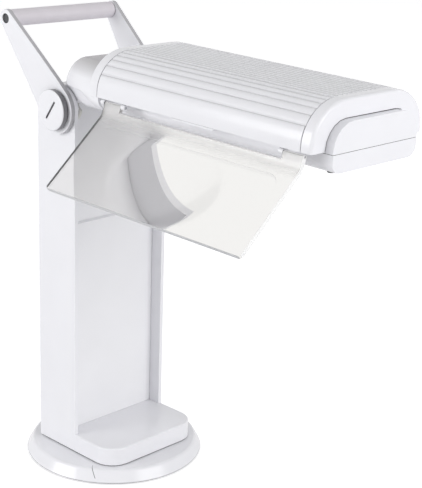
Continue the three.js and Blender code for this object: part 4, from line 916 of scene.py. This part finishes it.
# %% Soften every solid
WELD_REACH = 0.00002
FLAT_TURN = math.radians(1)
EDGE_RADIUS = 0.0003
EDGE_STEPS = 2


def soften(node_object):
    weld = node_object.modifiers.new("weld", "WELD")
    weld.merge_threshold = WELD_REACH
    flatten = node_object.modifiers.new("flatten", "DECIMATE")
    flatten.decimate_type = "DISSOLVE"
    flatten.angle_limit = FLAT_TURN
    curves = node_object.modifiers.new("curves", "NODES")
    curves.node_group = shading
    rounding = node_object.modifiers.new("rounding", "BEVEL")
    rounding.width = EDGE_RADIUS
    rounding.segments = EDGE_STEPS
    rounding.limit_method = "ANGLE"
    rounding.angle_limit = SHARP_TURN
    weigh = node_object.modifiers.new("weigh", "WEIGHTED_NORMAL")
    weigh.keep_sharp = True


for node_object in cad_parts.values():
    soften(node_object)
print("softened:", len(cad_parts))

# %% [markdown]
# ## The floor
# The lamp stands on plain white paper that has no visible horizon. The floor is a large sheet
# that takes the lamp's shadow. For the camera it is lifted by a little light of its own, so that
# it is white and only the shadow is left of it, and reflections and the clear sheet see it as
# plain white. More light on the whole scene would whiten it too, but it would bleach the lamp.

# %% Lay the paper
PAPER_SIZE = 8.0
PAPER_DROP = 0.0002
PAPER_LIFT = 0.62
PAPER_TONE = shown(236, 236, 238)
PLAIN_WHITE = shown(255, 255, 255)


def paper_finish():
    finish = Finish("white_paper")
    rays = finish.make("ShaderNodeLightPath")
    glossy, through = rays.outputs["Is Glossy Ray"], rays.outputs["Is Transmission Ray"]
    lit = finish.make("ShaderNodeBsdfDiffuse", None, {"Color": PAPER_TONE})
    glow = {"Color": PLAIN_WHITE, "Strength": PAPER_LIFT}
    lift = finish.make("ShaderNodeEmission", None, glow)
    both = {0: lit.outputs[0], 1: lift.outputs[0]}
    lifted = finish.make("ShaderNodeAddShader", None, both)
    direct = finish.mix_shaders(rays.outputs["Is Camera Ray"], lit, lifted)
    plain = finish.make("ShaderNodeEmission", None, {"Color": PLAIN_WHITE, "Strength": 1.0})
    finish.end_with(finish.mix_shaders(finish.maths("MAXIMUM", glossy, through), direct, plain))
    return finish.material


def paper():
    mesh = bpy.data.meshes.new("paper")
    sheet = bmesh.new()
    bmesh.ops.create_grid(sheet, x_segments=1, y_segments=1, size=PAPER_SIZE / 2)
    sheet.to_mesh(mesh)
    sheet.free()
    made = bpy.data.objects.new("paper", mesh)
    bpy.context.scene.collection.objects.link(made)
    made.location = (0, 0, -PAPER_DROP)
    made.data.materials.append(paper_finish())


paper()
print("paper:", PAPER_SIZE, "m square")

# %% [markdown]
# ## The room
# The camera, the reflections and the clear sheet see a plain white world. The light that it gives
# is weaker than that, and weaker still from high up, so that faces that look up don't outshine
# the sides. The world has a node tree like a material's, so the same expressions build it.

# %% Light the room
ROOM_LIGHT_LOW = 0.68
ROOM_LIGHT_HIGH = 0.36
LEVEL_HEIGHT = 0.0
STEEP_HEIGHT = 0.8


class Room(Finish):
    """The world's tree, built by the same expressions."""

    def __init__(self, name):
        self.world = bpy.data.worlds.new(name)
        self.world.use_nodes = True
        self.start(self.world.node_tree, "ShaderNodeOutputWorld")


def white_room():
    room = Room("white_room")
    bpy.context.scene.world = room.world
    rays = room.make("ShaderNodeLightPath")
    seen = room.maths("MAXIMUM", rays.outputs["Is Camera Ray"], rays.outputs["Is Glossy Ray"])
    seen = room.maths("MAXIMUM", seen, rays.outputs["Is Transmission Ray"])
    height = room.axis("Z", room.node("ShaderNodeTexCoord", take="Generated"))
    strength = room.between(height, LEVEL_HEIGHT, STEEP_HEIGHT, ROOM_LIGHT_LOW, ROOM_LIGHT_HIGH)
    given = {"Color": PLAIN_WHITE, "Strength": strength}
    lighting = room.make("ShaderNodeBackground", None, given)
    backdrop = room.make("ShaderNodeBackground", None, {"Color": PLAIN_WHITE, "Strength": 1.0})
    room.end_with(room.mix_shaders(seen, lighting, backdrop))


white_room()
print("room light:", ROOM_LIGHT_LOW, "to", ROOM_LIGHT_HIGH)

# %% [markdown]
# ## Two soft boxes
# Two soft boxes shape the lamp. One stands on the left and a little behind, and keeps the
# column's side bright. The other is larger and higher, stands in front, and keeps the recessed
# panel from going grey. Large areas are used, because a small lamp would draw hard shadows that a
# white product picture avoids.

# %% Place the soft boxes
LAMP_MIDDLE = Vector((0.0, -0.1, 0.25))


def soft_box(name, where, width, power):
    light = bpy.data.lights.new(name, "AREA")
    light.shape = "SQUARE"
    light.size = width
    light.energy = power
    made = bpy.data.objects.new(name, light)
    bpy.context.scene.collection.objects.link(made)
    made.location = where
    direction = LAMP_MIDDLE - Vector(where)
    made.rotation_euler = direction.to_track_quat("-Z", "Y").to_euler()


soft_box("left_soft_box", where=(-2.0, 0.75, 0.8), width=1.2, power=22.5)
soft_box("front_soft_box", where=(0.35, -2.15, 1.05), width=1.4, power=23.0)
bpy.context.scene.view_settings.view_transform = "Standard"
